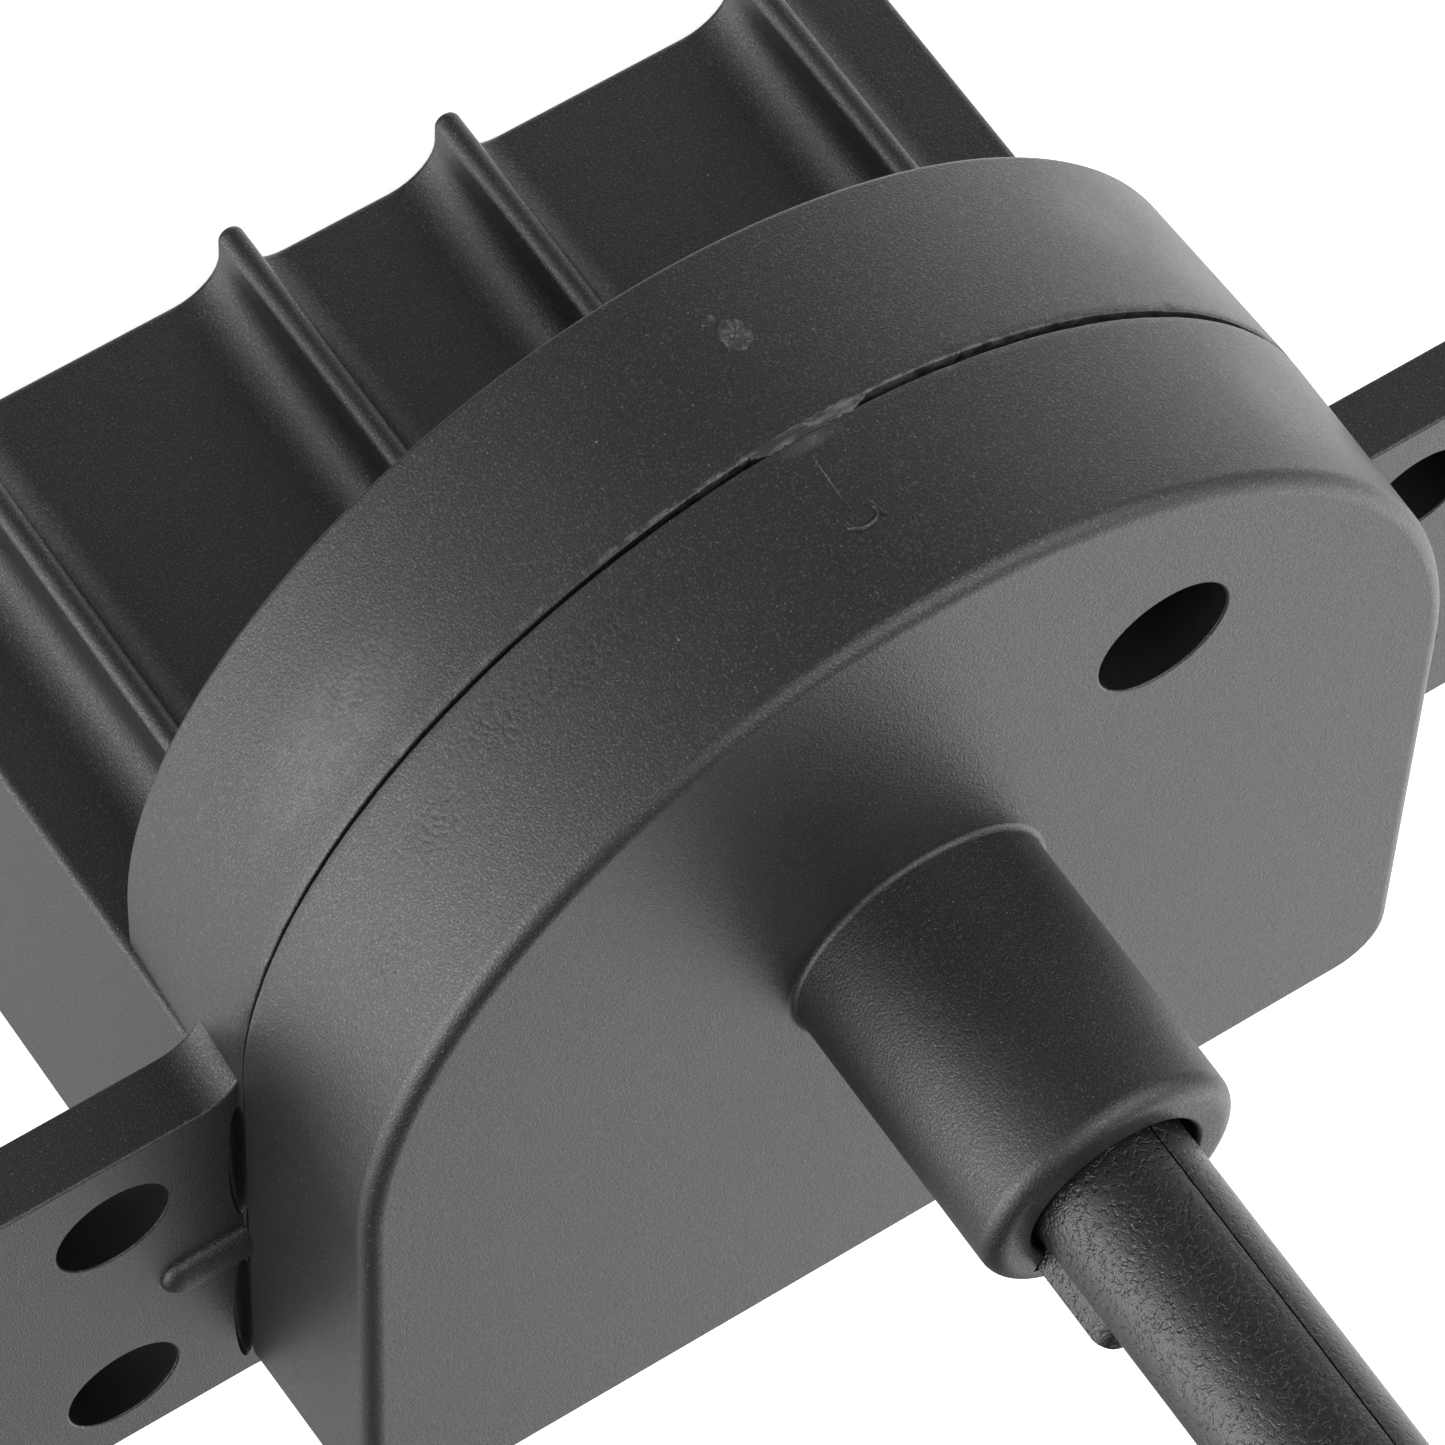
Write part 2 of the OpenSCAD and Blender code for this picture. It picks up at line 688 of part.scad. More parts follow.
// One cup: its mouth looks along -Y of its arm's own frame
module cup(i) {
    bore_r = arm_r + seat_gap;
    color("#232426") about_axis() rotate([0, 0, first_arm_angle + 120 * i])
        translate([cup_orbit, -mouth_offset, arm_z]) difference() {
            union() {
                rotate([-90, 0, 0]) intersection() {
                    sphere(r = cup_r);
                    cylinder(r = cup_r + 1, h = cup_r + 1);
                }
                rotate([-90, 0, 0]) cylinder(d = cup_rim_d, h = 1.3);
                translate([-cup_r - socket_len + 1, mouth_offset, 0]) rotate([0, 90, 0])
                    cylinder(r = socket_r, h = socket_len);
            }
            sphere(r = cup_r - cup_wall);
            translate([-cup_r - socket_len, mouth_offset, 0]) rotate([0, 90, 0])
                cylinder(r = bore_r, h = socket_len + 0.25);
        }
}

rear_housing();
front_housing();
housing_gasket();
housing_screws();
foot_cover();
foot_cover_screws();
mast_left_shell();
mast_right_shell();
mast_collar();
mast_seal();
lower_bearing_outer_ring();
upper_bearing_outer_ring();
bearing_balls();
bearing_retainer();
retainer_screws();
circuit_board();
board_screws();
reed_switch();
terminal_block();
terminal_screws();
rotor_shaft();
lower_bearing_inner_ring();
upper_bearing_inner_ring();
shaft_clip();
magnet_wheel();
wheel_magnets();
hub_base();
hub_clamp();
hub_cap();
hub_screw();
hub_washer();
clamp_screws();
arm(0);  // arm_1
arm(1);  // arm_2
arm(2);  // arm_3
cup(0);  // cup_1
cup(1);  // cup_2
cup(2);  // cup_3
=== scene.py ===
import json
import math

import bmesh
import bpy
from bpy.props import FloatProperty, FloatVectorProperty, PointerProperty
from mathutils import Matrix, Vector, noise


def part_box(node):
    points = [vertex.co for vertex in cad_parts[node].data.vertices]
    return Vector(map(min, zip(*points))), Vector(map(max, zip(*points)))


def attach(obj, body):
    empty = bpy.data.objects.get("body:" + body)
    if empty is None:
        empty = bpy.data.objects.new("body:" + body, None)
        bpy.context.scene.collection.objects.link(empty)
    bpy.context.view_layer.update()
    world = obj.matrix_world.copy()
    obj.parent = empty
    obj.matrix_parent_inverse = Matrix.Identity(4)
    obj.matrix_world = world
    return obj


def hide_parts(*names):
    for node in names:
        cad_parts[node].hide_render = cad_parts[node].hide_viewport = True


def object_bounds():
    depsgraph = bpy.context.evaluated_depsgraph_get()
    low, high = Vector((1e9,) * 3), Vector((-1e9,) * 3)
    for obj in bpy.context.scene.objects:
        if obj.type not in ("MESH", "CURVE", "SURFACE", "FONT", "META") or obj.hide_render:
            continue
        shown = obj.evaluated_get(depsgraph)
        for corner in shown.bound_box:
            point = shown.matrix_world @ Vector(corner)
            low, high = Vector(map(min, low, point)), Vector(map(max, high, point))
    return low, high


bl_info = {
    "name": "Cup Anemometer",
    "version": (1, 0, 0),
    "blender": (4, 5, 0),
    "location": "View3D > Sidebar > Anemometer",
    "description": "Builds the looks of a cup anemometer around its CAD frame",
    "category": "Add Mesh",
}

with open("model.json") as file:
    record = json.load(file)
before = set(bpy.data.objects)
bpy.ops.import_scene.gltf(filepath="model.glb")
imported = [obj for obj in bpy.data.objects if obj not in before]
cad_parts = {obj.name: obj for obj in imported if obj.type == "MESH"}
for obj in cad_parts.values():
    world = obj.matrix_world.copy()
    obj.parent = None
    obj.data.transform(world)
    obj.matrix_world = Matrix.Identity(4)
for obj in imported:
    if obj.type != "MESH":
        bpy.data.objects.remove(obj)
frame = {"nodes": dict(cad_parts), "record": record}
CAD_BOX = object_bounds()
SLOT_OF = {row["node"]: row["material_slot"] for row in frame["record"]["subparts"]}

# Shapes are built in millimetres around the rotor's axis, then scaled and shifted into the frame.
MM = 0.001
SHAFT_LO, SHAFT_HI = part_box("rotor_shaft")
AXIS_Y = (SHAFT_LO[1] + SHAFT_HI[1]) / 2


def span(node):
    """Lowest and highest corner of a CAD node, in millimetres around the rotor's axis."""
    lo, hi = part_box(node)
    shift = Vector((0, AXIS_Y, 0))
    return (Vector(lo) - shift) / MM, (Vector(hi) - shift) / MM


def mirrored(*points):
    """Places on the -X side, then the same on the +X side."""
    return [(side * x, y) for side in (-1, 1) for x, y in points]


REAR_LO, REAR_HI = span("rear_housing")
FRONT_LO, FRONT_HI = span("front_housing")
MAST_LO, MAST_HI = span("mast_left_shell")
COLLAR_LO, COLLAR_HI = span("mast_collar")
HUB_LO, HUB_HI = span("hub_base")
CLAMP_LO, CLAMP_HI = span("hub_clamp")
CAP_LO, CAP_HI = span("hub_cap")
GASKET_LO, GASKET_HI = span("housing_gasket")

PAST = 1  # how far cutters reach past a face
CLEARANCE = 0.03

# Housing
HALF_W = FRONT_HI.x
BACK = FRONT_HI.y
ARCH_DROP = FRONT_LO.y + HALF_W
PART_Z = GASKET_LO.z
FRONT_Z = GASKET_HI.z
REAR_DEPTH = 10.75
FRONT_DEPTH = 11
REAR_Z = PART_Z - REAR_DEPTH
FACE_Z = PART_Z + FRONT_DEPTH
BOSS_Z = FRONT_HI.z
FOOT_Z = REAR_LO.z
WALL = 2.6
CAVITY_CORNER = 1.5
REAR_FLOOR_Z = REAR_Z + 2.4
FACE_INNER_Z = FACE_Z - WALL
REAR_TAPER = 0.46
FRONT_TAPER = 0.17
LOWER_CORNER = 3.2
GATE_Z = PART_Z - 5.75
HOUSING_SCREWS = mirrored((20.5, -12.5), (24.6, 24.8))
BOARD_POSTS = mirrored((16.5, 1.5), (16, 22.5))
RETAINER_POSTS = mirrored((9.5, 0))
BOARD_TOP_Z = 9.6
RETAINER_TOP_Z = span("bearing_retainer")[1].z + CLEARANCE
POST_TOP_Z = FACE_Z - 1.2
REAR_POST_R = 4.4
FRONT_POST_R = 3.4
SMALL_POST_R = 2.5
HEAD_R = 3.1
SHANK_R = 1.6
HEAD_DEPTH = 3
PILOT_R = 1.2
SMALL_PILOT_R = 0.8
BEARING_BOSS_R = 6.5
BEARING_R = 4.03
BEARING_TOP_Z = 8.05
SHAFT_ROOM_R = 3
MAST_SEAT_Z = 9.6

# Ears and foot
EAR_TOP = 2.55
EAR_HOLES = mirrored((38.1, 8.7), (38.1, 25.3))
EAR_HOLE_R = 3.1
EAR_HOLE_LIP = 0.15
CREASES = ((9.0, 5.4), (24.4, 5.2))
FOOT_TOP = 4.3
FOOT_EDGE = 0.5
RIB_H = 4.5
RIB_HALF = 0.7
RIB_FILLET = 2.6
RIBS = (-24, -6.35, 6.35, 24)
FOOT_WALL = 2.5
COVER_SCREWS = mirrored((22, (FOOT_TOP + BACK) / 2))
COVER_TOP_Z = span("foot_cover")[1].z + CLEARANCE
COVER_POST_R = 3

# Outlet, boss and mast
OUTLET = (-12.9, -15.1)
OUTLET_R = 3.6
OUTLET_LIP = 0.16
SLEEVE_DEPTH = 5
BOSS_R = 7.05
MAST_R = 4.25
MAST_BORE_R = 2.6
MAST_SEAT = 4.28
MOUTH_R = 4.68
MOUTH_DEPTH = 2.6
MOUTH_RIM = 0.28
SPLIT_TURN = math.radians(154)
SPLIT_GAP = 0.12
KEY_W = 4.4
KEY_H = 1.05
KEY_END = BOSS_Z + 5.4
KEY_NOSE = 1.6
SLOT_PLAY = 0.1
TOP_SEAT_R = 3.03
TOP_SEAT_Z = (MAST_HI.z - 3.73, MAST_HI.z - 1.17)

# Rotor
ARM_Z = CLAMP_LO.z - 0.02
ARM_R = 1.5
ARM_SEAT = 1.53
ARM_ROOT = 4.5
ARM_CHAMFER = 0.25
HUB_R = 11
HUB_EDGE = 0.15
HUB_FOOT_Z = MAST_HI.z + 1.5
HUB_FLARE = 1.2
SKIRT_R = (5.9, 7.1)
SKIRT_EDGE = 0.3
SHAFT_SEAT = 1.52
CUP_ORBIT = 45
CUP_R = 17
CUP_RIM_R = 18.2
CUP_LIP = 0.25
MOUTH_OFFSET = 3
SOCKET_R = 2.8
SOCKET_LEN = 6
SOCKET_EDGE = 0.4
ARM_TURNS = (90, 210, 330)
CLAMP_TURNS = (150, 270, 390)
CLAMP_ORBIT = 7.4
TO_X = Matrix.Rotation(math.radians(90), 4, "Y")


# ---------------------------------------------------------------- sizes and colours

def length(name, description, default, low, high):
    return FloatProperty(name=name, description=description, default=default, min=low, max=high,
                         unit="LENGTH", precision=6)


def colour(name, description, default):
    return FloatVectorProperty(name=name, description=description, default=default, min=0, max=1,
                               size=3, subtype="COLOR")


class AnemometerHousingSizes(bpy.types.PropertyGroup):
    """Roundings of the moulded housing"""

    face_round: length("Face rounding", "Rounding of the housing's front edge",
                       0.00096, 0.0002, 0.0014)
    back_round: length("Back rounding", "Rounding of the rear half's back edge",
                       0.0003, 0.0001, 0.0006)
    boss_round: length("Boss rounding", "Rounding of the boss's end", 0.0011, 0.0003, 0.0014)
    root_fillet: length("Boss fillet", "Fillet where the boss leaves the face",
                        0.00035, 0.0001, 0.001)
    lip_round: length("Lip rounding", "Rounding of the parting edges", 0.00013, 0.00005, 0.0003)
    ear_round: length("Ear rounding", "Rounding of the ears' edges", 0.00018, 0.0001, 0.001)
    nick_depth: length("Nick depth", "Depth of the nicks along the parting edge",
                       0.0001, 0.0, 0.0003)


class AnemometerRotorSizes(bpy.types.PropertyGroup):
    """Sizes of the rotor's moulded pieces"""

    cup_wall: length("Cup wall", "Wall of a cup", 0.0012, 0.0009, 0.0015)
    rim_height: length("Rim height", "Height of the bead around a cup's mouth",
                       0.0013, 0.0008, 0.0025)
    hub_round: length("Hub rounding", "Rounding of the hub's edges", 0.0008, 0.0002, 0.0015)


class AnemometerFinishes(bpy.types.PropertyGroup):
    """Colours and textures of the finishes"""

    housing: colour("Housing", "Colour of the moulded housing", (0.0125, 0.0128, 0.0134))
    mast: colour("Mast", "Colour of the mast's shells", (0.011, 0.0113, 0.0119))
    rotor: colour("Rotor", "Colour of the cups and hub", (0.013, 0.0133, 0.0139))
    scuff: colour("Scuffs", "Colour of rubbed plastic", (0.12, 0.12, 0.122))
    speck: colour("Specks", "Colour of the fine pale specks", (0.2, 0.2, 0.197))
    grain: length("Grain size", "Size of the housing's spark-eroded grain",
                  0.00013, 0.00005, 0.0005)
    leather: length("Leather size", "Size of the mast's leather grain", 0.00033, 0.0001, 0.001)


class AnemometerSettings(bpy.types.PropertyGroup):
    """Everything a user may change"""

    housing: PointerProperty(type=AnemometerHousingSizes)
    rotor: PointerProperty(type=AnemometerRotorSizes)
    finishes: PointerProperty(type=AnemometerFinishes)


def settings():
    return bpy.context.scene.anemometer


# ---------------------------------------------------------------- mesh tools

def new_solid(name, bm):
    """Object from a closed bmesh."""
    bmesh.ops.recalc_face_normals(bm, faces=bm.faces)
    mesh = bpy.data.meshes.new(name)
    bm.to_mesh(mesh)
    bm.free()
    obj = bpy.data.objects.new(name, mesh)
    bpy.context.scene.collection.objects.link(obj)
    return obj


def skin(bm, rings):
    """Walls between neighbouring rings of points, and a cap at each end."""
    loops = [[bm.verts.new(p) for p in ring] for ring in rings]
    count = len(loops[0])
    for lower, upper in zip(loops, loops[1:]):
        for i in range(count):
            j = (i + 1) % count
            bm.faces.new((lower[i], lower[j], upper[j], upper[i]))
    bm.faces.new(list(reversed(loops[0])))
    bm.faces.new(loops[-1])


def ring_solid(name, rings):
    """Closed solid through rings of equal point counts."""
    bm = bmesh.new()
    skin(bm, rings)
    return new_solid(name, bm)


def lathe(name, profile, steps=96, closed=False, axis=(0, 0)):
    """Solid of revolution about Z through (radius, height) points; closed makes it ring-shaped."""
    bm = bmesh.new()
    rows = []
    for r, z in profile:
        if r < 1e-6:
            rows.append([bm.verts.new((axis[0], axis[1], z))])
            continue
        turns = [2 * math.pi * k / steps for k in range(steps)]
        rows.append([bm.verts.new((axis[0] + r * math.cos(a), axis[1] + r * math.sin(a), z))
                     for a in turns])
    pairs = list(zip(rows, rows[1:]))
    if closed:
        pairs.append((rows[-1], rows[0]))
    for a, b in pairs:
        for k in range(steps):
            m = (k + 1) % steps
            corners = [a[k % len(a)], a[m % len(a)], b[m % len(b)], b[k % len(b)]]
            corners = [v for i, v in enumerate(corners) if v not in corners[:i]]
            if len(corners) > 2:
                bm.faces.new(corners)
    return new_solid(name, bm)


def block(name, lo, hi, rounding=0.0):
    """Box, with rounded edges if a rounding is given."""
    bm = bmesh.new()
    bmesh.ops.create_cube(bm, size=1)
    for v in bm.verts:
        v.co = Vector([lo[i] + (v.co[i] + 0.5) * (hi[i] - lo[i]) for i in range(3)])
    if rounding:
        bmesh.ops.bevel(bm, geom=list(bm.edges), offset=rounding, segments=3, profile=0.5,
                        affect="EDGES")
    return new_solid(name, bm)


def ball(name, steps, rings, place):
    """Sphere of radius 1 whose points are moved by a function."""
    bm = bmesh.new()
    bmesh.ops.create_uvsphere(bm, u_segments=steps, v_segments=rings, radius=1)
    for v in bm.verts:
        v.co = place(v.co)
    return new_solid(name, bm)


def arc(centre, radius, start, stop, steps):
    """Points of an arc in a plane; angles in degrees."""
    angles = [math.radians(start + (stop - start) * i / steps) for i in range(steps + 1)]
    return [(centre[0] + radius * math.cos(a), centre[1] + radius * math.sin(a)) for a in angles]


def inset(points, distance):
    """Outline moved inwards by a distance, for short distances."""
    area = sum(a[0] * b[1] - b[0] * a[1] for a, b in zip(points, points[1:] + points[:1]))
    side = 1 if area > 0 else -1
    moved = []
    count = len(points)
    for i, p in enumerate(points):
        before = Vector(p) - Vector(points[i - 1])
        after = Vector(points[(i + 1) % count]) - Vector(p)
        n1 = Vector((-before.y, before.x)).normalized() * side
        n2 = Vector((-after.y, after.x)).normalized() * side
        n = (n1 + n2).normalized()
        reach = distance / max(0.5, n.dot(n1))
        moved.append((p[0] + n.x * reach, p[1] + n.y * reach))
    return moved


def edge_profile(z, rounding, rising, steps=4):
    """(inset, height) pairs that round an edge: rising goes away from the end face at z."""
    if rising:
        return arc((rounding, z + rounding), rounding, 270, 180, steps)
    return arc((rounding, z - rounding), rounding, 180, 90, steps)


def prism(name, outline, z0, z1, round0=0.0, round1=0.0):
    """Extruded outline with rounded ends."""
    pairs = edge_profile(z0, round0, True) if round0 else [(0, z0)]
    pairs += edge_profile(z1, round1, False) if round1 else [(0, z1)]
    rings = [[(x, y, z) for x, y in (inset(outline, d) if d else outline)] for d, z in pairs]
    return ring_solid(name, rings)


def combine(base, tools, operation):
    """Boolean of a solid with tools, which are then removed."""
    for tool in tools:
        change = base.modifiers.new(operation.lower(), "BOOLEAN")
        change.operation = operation
        change.solver = "EXACT"
        change.object = tool
    graph = bpy.context.evaluated_depsgraph_get()
    mesh = bpy.data.meshes.new_from_object(base.evaluated_get(graph))
    base.modifiers.clear()
    old = base.data
    base.data = mesh
    bpy.data.meshes.remove(old)
    for tool in tools:
        data = tool.data
        bpy.data.objects.remove(tool)
        bpy.data.meshes.remove(data)
    return base


def cut(base, *tools):
    return combine(base, tools, "DIFFERENCE")


def join(base, *tools):
    return combine(base, tools, "UNION")


def move(obj, matrix):
    obj.data.transform(matrix)
    return obj


def turn(obj, degrees):
    return move(obj, Matrix.Rotation(math.radians(degrees), 4, "Z"))


def hole_cutter(name, place, z0, z1, r, lip, steps=48):
    """Drill with flared ends, so both mouths of the hole are rounded."""
    profile = [(0, z0 - PAST), (r + lip, z0 - PAST)] + arc((r + lip, z0 + lip), lip, 270, 180, 4)
    profile += arc((r + lip, z1 - lip), lip, 180, 90, 4) + [(r + lip, z1 + PAST), (0, z1 + PAST)]
    return lathe(name, profile, steps, axis=place)


def rod(name, place, z0, z1, r, steps=32):
    return lathe(name, [(0, z0), (r, z0), (r, z1), (0, z1)], steps, axis=place)


def rods(name, places, z0, z1, r, steps=32):
    return [rod(name, place, z0, z1, r, steps) for place in places]


def islands(bm):
    """Groups of faces that share edges."""
    left = set(bm.faces)
    while left:
        island, border = [], [left.pop()]
        while border:
            face = border.pop()
            island.append(face)
            for edge in face.edges:
                for other in edge.link_faces:
                    if other in left:
                        left.remove(other)
                        border.append(other)
        yield island


def weld(mesh, gap=0.002):
    """Joins points that booleans left closer than a gap in mm and drops stray faces."""
    bm = bmesh.new()
    bm.from_mesh(mesh)
    bmesh.ops.remove_doubles(bm, verts=bm.verts, dist=gap)
    bmesh.ops.dissolve_degenerate(bm, edges=bm.edges, dist=gap / 2)
    stray = [face for island in islands(bm) if len(island) < 8 for face in island]
    bmesh.ops.delete(bm, geom=stray, context="FACES")
    bmesh.ops.holes_fill(bm, edges=[edge for edge in bm.edges if edge.is_boundary], sides=8)
    bm.to_mesh(mesh)
    bm.free()


def finish_piece(obj, body, node, sharp=32, material=None):
    """Scales a piece into the frame, gives it the finish of its node's slot unless one is given,
    and ties it to its body.
    """
    obj.data.transform(Matrix.Translation((0, AXIS_Y, 0)) @ Matrix.Scale(MM, 4))
    obj.data.materials.clear()
    obj.data.materials.append(material or finish(SLOT_OF[node]))
    obj.data.shade_smooth()
    obj.data.set_sharp_from_angle(angle=math.radians(sharp))
    weighted = obj.modifiers.new("weighted normals", "WEIGHTED_NORMAL")
    weighted.keep_sharp = True
    weighted.weight = 60
    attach(obj, body)
    return obj


# ---------------------------------------------------------------- shader tools

class Value:
    """A shader socket that adds Math nodes when it is used in an expression."""

    def __init__(self, shader, socket):
        self.shader = shader
        self.socket = socket

    def math(self, operation, *others):
        return self.shader.add("ShaderNodeMath", {"operation": operation},
                               dict(enumerate((self,) + others)))

    def __add__(self, other):
        return self.math("ADD", other)

    __radd__ = __add__

    def __sub__(self, other):
        return self.math("SUBTRACT", other)

    def __rsub__(self, other):
        return self.shader.add("ShaderNodeMath", {"operation": "SUBTRACT"}, {0: other, 1: self})

    def __mul__(self, other):
        return self.math("MULTIPLY", other)

    __rmul__ = __mul__

    def __pow__(self, other):
        return self.math("POWER", other)

    def step(self, low, high):
        """0 below low, 1 above high, smooth between."""
        return self.shader.add("ShaderNodeMapRange", {"interpolation_type": "SMOOTHSTEP"},
                               {"Value": self, "From Min": low, "From Max": high})


class Shader:
    """Node tree of one finish."""

    def __init__(self, tree):
        self.tree = tree
        tree.nodes.clear()
        self.place = None

    def add(self, kind, options=None, sockets=None, output=0):
        """Adds a node: options are set first, then socket values or links. Gives one output."""
        node = self.tree.nodes.new(kind)
        for key, value in (options or {}).items():
            setattr(node, key, value)
        for key, value in (sockets or {}).items():
            socket = node.inputs[key]
            if isinstance(value, Value):
                self.tree.links.new(value.socket, socket)
            else:
                socket.default_value = value
        return Value(self, node.outputs[output]) if node.outputs else node

    def vector(self, operation, a, b=None, output=0):
        values = {0: a} if b is None else {0: a, 1: b}
        return self.add("ShaderNodeVectorMath", {"operation": operation}, values, output)

    def position(self):
        if self.place is None:
            self.place = self.add("ShaderNodeTexCoord", output="Object")
        return self.place

    def noise(self, size, detail=2.0, rough=0.5, distortion=0.0, stretch=None):
        """Noise whose features are about size metres wide."""
        where = self.position()
        if stretch:
            where = self.vector("MULTIPLY", where, stretch)
        return self.add("ShaderNodeTexNoise", None,
                        {"Vector": where, "Scale": 1 / size, "Detail": detail, "Roughness": rough,
                         "Distortion": distortion})

    def specks(self, spacing, radius, share):
        """Small round dots: one cell in share has a dot of this radius in metres."""
        cell = {"Vector": self.position(), "Scale": 1 / spacing}
        near = self.add("ShaderNodeTexVoronoi", None, cell, "Distance")
        lot = self.add("ShaderNodeTexVoronoi", None, cell, "Color")
        drawn = self.add("ShaderNodeSeparateColor", None, {0: lot})
        chosen = drawn.math("GREATER_THAN", 1 - share)
        return (1 - near.step(0.6 * radius / spacing, 1.3 * radius / spacing)) * chosen

    def spot(self, centre, reach, soft):
        """1 at a place, falling to 0 at its reach along X, Y and Z in metres."""
        offset = self.vector("SUBTRACT", self.position(), centre)
        far = self.vector("LENGTH", self.vector("DIVIDE", offset, reach), output="Value")
        return 1 - far.step(1 - soft, 1)

    def patches(self, rows, soft):
        """Spots on the arched side: rows of degrees from the crown, height and reach."""
        spots = [self.spot(arch_place(degrees, z), reach, soft) for degrees, z, reach in rows]
        mask = spots[0]
        for spot in spots[1:]:
            mask = mask.math("MAXIMUM", spot)
        return mask

    def blend(self, factor, a, b):
        """Colour between a and b."""
        return self.add("ShaderNodeMix", {"data_type": "RGBA"}, {0: factor, 6: a, 7: b}, 2)

    def bump(self, height, distance, strength, under=None):
        sockets = {"Height": height, "Distance": distance, "Strength": strength}
        if under is not None:
            sockets["Normal"] = under
        return self.add("ShaderNodeBump", None, sockets)

    def surface(self, sockets):
        shader = self.add("ShaderNodeBsdfPrincipled", None, sockets)
        self.add("ShaderNodeOutputMaterial", None, {"Surface": shader})


def tint(shade, gain=1.0):
    """A colour made lighter or darker, with its alpha."""
    return (shade[0] * gain, shade[1] * gain, shade[2] * gain, 1.0)


def new_finish(name):
    material = bpy.data.materials.new(name)
    material.use_nodes = True
    return material, Shader(material.node_tree)


def arch_place(degrees, z):
    """Point on the arched side: degrees from the crown towards +X, height along the axis."""
    a = math.radians(degrees)
    return (HALF_W * math.sin(a) * MM, AXIS_Y + (ARCH_DROP - HALF_W * math.cos(a)) * MM, z * MM)


# ---------------------------------------------------------------- finishes

RUBBED = ((50, 0.5, (0.008, 0.010, 0.0040)), (-42, -2.5, (0.006, 0.0035, 0.0035)),
          (-52, 0.2, (0.004, 0.005, 0.0032)), (-47, 9.0, (0.004, 0.006, 0.0045)),
          (-56, 12.0, (0.004, 0.006, 0.003)), (1.2, 4.6, (0.0020, 0.002, 0.0006)))
SMALL_PATCH = (0.0055, 0.005, 0.0026)
PEBBLED = ((27, 6.8, (0.0070, 0.006, 0.0024)), (36, 6.4, SMALL_PATCH), (47, 7.5, SMALL_PATCH),
           (60, 9.5, SMALL_PATCH), (44, -0.6, SMALL_PATCH))


def housing_plastic():
    """Spark-eroded plastic with rubbed patches, pebbled patches whose pits carry painted shade, a
    worn lip with a painted highlight, and dust with painted glints.
    """
    f = settings().finishes
    material, s = new_finish("housing_plastic")
    grain = s.noise(f.grain, 2, 0.65)
    grit = s.noise(f.grain * 0.8, 1, 0.5).step(0.52, 0.74)
    cloud = s.noise(0.009, 3, 0.6)
    # Pits in the pebbled patches: sunk by the bump and darkened with painted shade.
    shaded_pits = s.noise(0.00026, 2, 0.6).step(0.46, 0.68) * s.patches(PEBBLED, 1.0)
    streak = s.noise(0.0009, 3, 0.65, 0.5)
    scuff = s.patches(RUBBED, 0.9) * (0.45 + 0.55 * streak.step(0.35, 0.7))
    # Pale specks: partly dust, partly painted glints of the grain.
    dust = s.specks(0.00036, 0.00004, 0.26).math("MAXIMUM", s.specks(0.0028, 0.000065, 0.4))
    # Lighter band along the rear half's parting lip, strongest at the crown: partly worn flash,
    # partly a painted highlight.
    lip = s.spot((0, AXIS_Y - 0.03, PART_Z * MM - 0.00003), (0.027, 0.1, 0.00020), 0.7)
    lip = lip * s.noise(0.0007, 3, 0.7).step(0.42, 0.6)
    gate = s.spot(arch_place(0.4, GATE_Z), (0.0009, 0.003, 0.0011), 0.6)
    worn = lip.math("MAXIMUM", gate * streak.step(0.3, 0.75) * 0.7)
    base = s.blend(cloud.step(0.3, 0.75), tint(f.housing, 0.9), tint(f.housing, 1.12))
    base = s.blend(grit * 0.8, base, tint(f.housing, 3.2))
    # Painted shade: the pits are darkened to a fifth of the housing's colour.
    base = s.blend(shaded_pits * 0.6, base, tint(f.housing, 0.2))
    base = s.blend(scuff * 0.42, base, tint(f.scuff))
    # The lip's wear and painted highlight, and the rough gate mark, are lightened towards the scuff
    # colour.
    base = s.blend(worn * 0.55, base, tint(f.scuff))
    # Dust and painted glints: the specks are lightened towards the speck colour.
    base = s.blend(dust * 0.5, base, tint(f.speck))
    coarse = s.bump(1 - shaded_pits, 0.00004, 0.6, s.bump(s.noise(0.0035, 2, 0.5), 0.00003, 0.5))
    s.surface({"Base Color": base, "Roughness": 0.31 + 0.04 * cloud + 0.07 * grain,
               "Coat Weight": grit * (1 - shaded_pits) * 0.55, "Coat Roughness": 0.4, "IOR": 1.48,
               "Normal": s.bump(grain + 0.8 * dust, 0.000042, 0.9, coarse)})
    return material


def mast_plastic():
    """Plastic with a leather grain."""
    f = settings().finishes
    material, s = new_finish("mast_plastic")
    wrinkle = s.noise(f.leather, 2, 0.55, 0.6)
    ridges = 1 - (wrinkle - 0.5).math("ABSOLUTE").step(0.0, 0.16)
    fine = s.noise(f.leather * 0.36, 2, 0.6)
    base = s.blend(ridges * 0.7, tint(f.mast, 0.7), tint(f.mast, 1.2))
    base = s.blend(s.specks(0.0005, 0.00004, 0.35) * 0.5, base, tint(f.speck))
    coarse = s.bump(ridges, 0.000018, 0.8, s.bump(wrinkle, 0.00009, 0.8))
    s.surface({"Base Color": base, "Roughness": 0.25 + 0.08 * fine, "IOR": 1.52,
               "Normal": s.bump(fine, 0.00003, 0.8, coarse)})
    return material


def smeared_glinting_plastic():
    """Plastic that was smeared across the parting line and dried rough; its paler colour is partly
    the rough smear's own and partly painted glints.
    """
    f = settings().finishes
    streaks = (0.00045, 3, 0.7, 0.4, (0.35, 1.0, 1.7))
    return clouded("smeared_glinting_plastic", streaks, tint(f.housing, 1.6), f.scuff, (0.42, 0.15),
                   (0.42, 0.72), (streaks, 0.00006, 0.9))


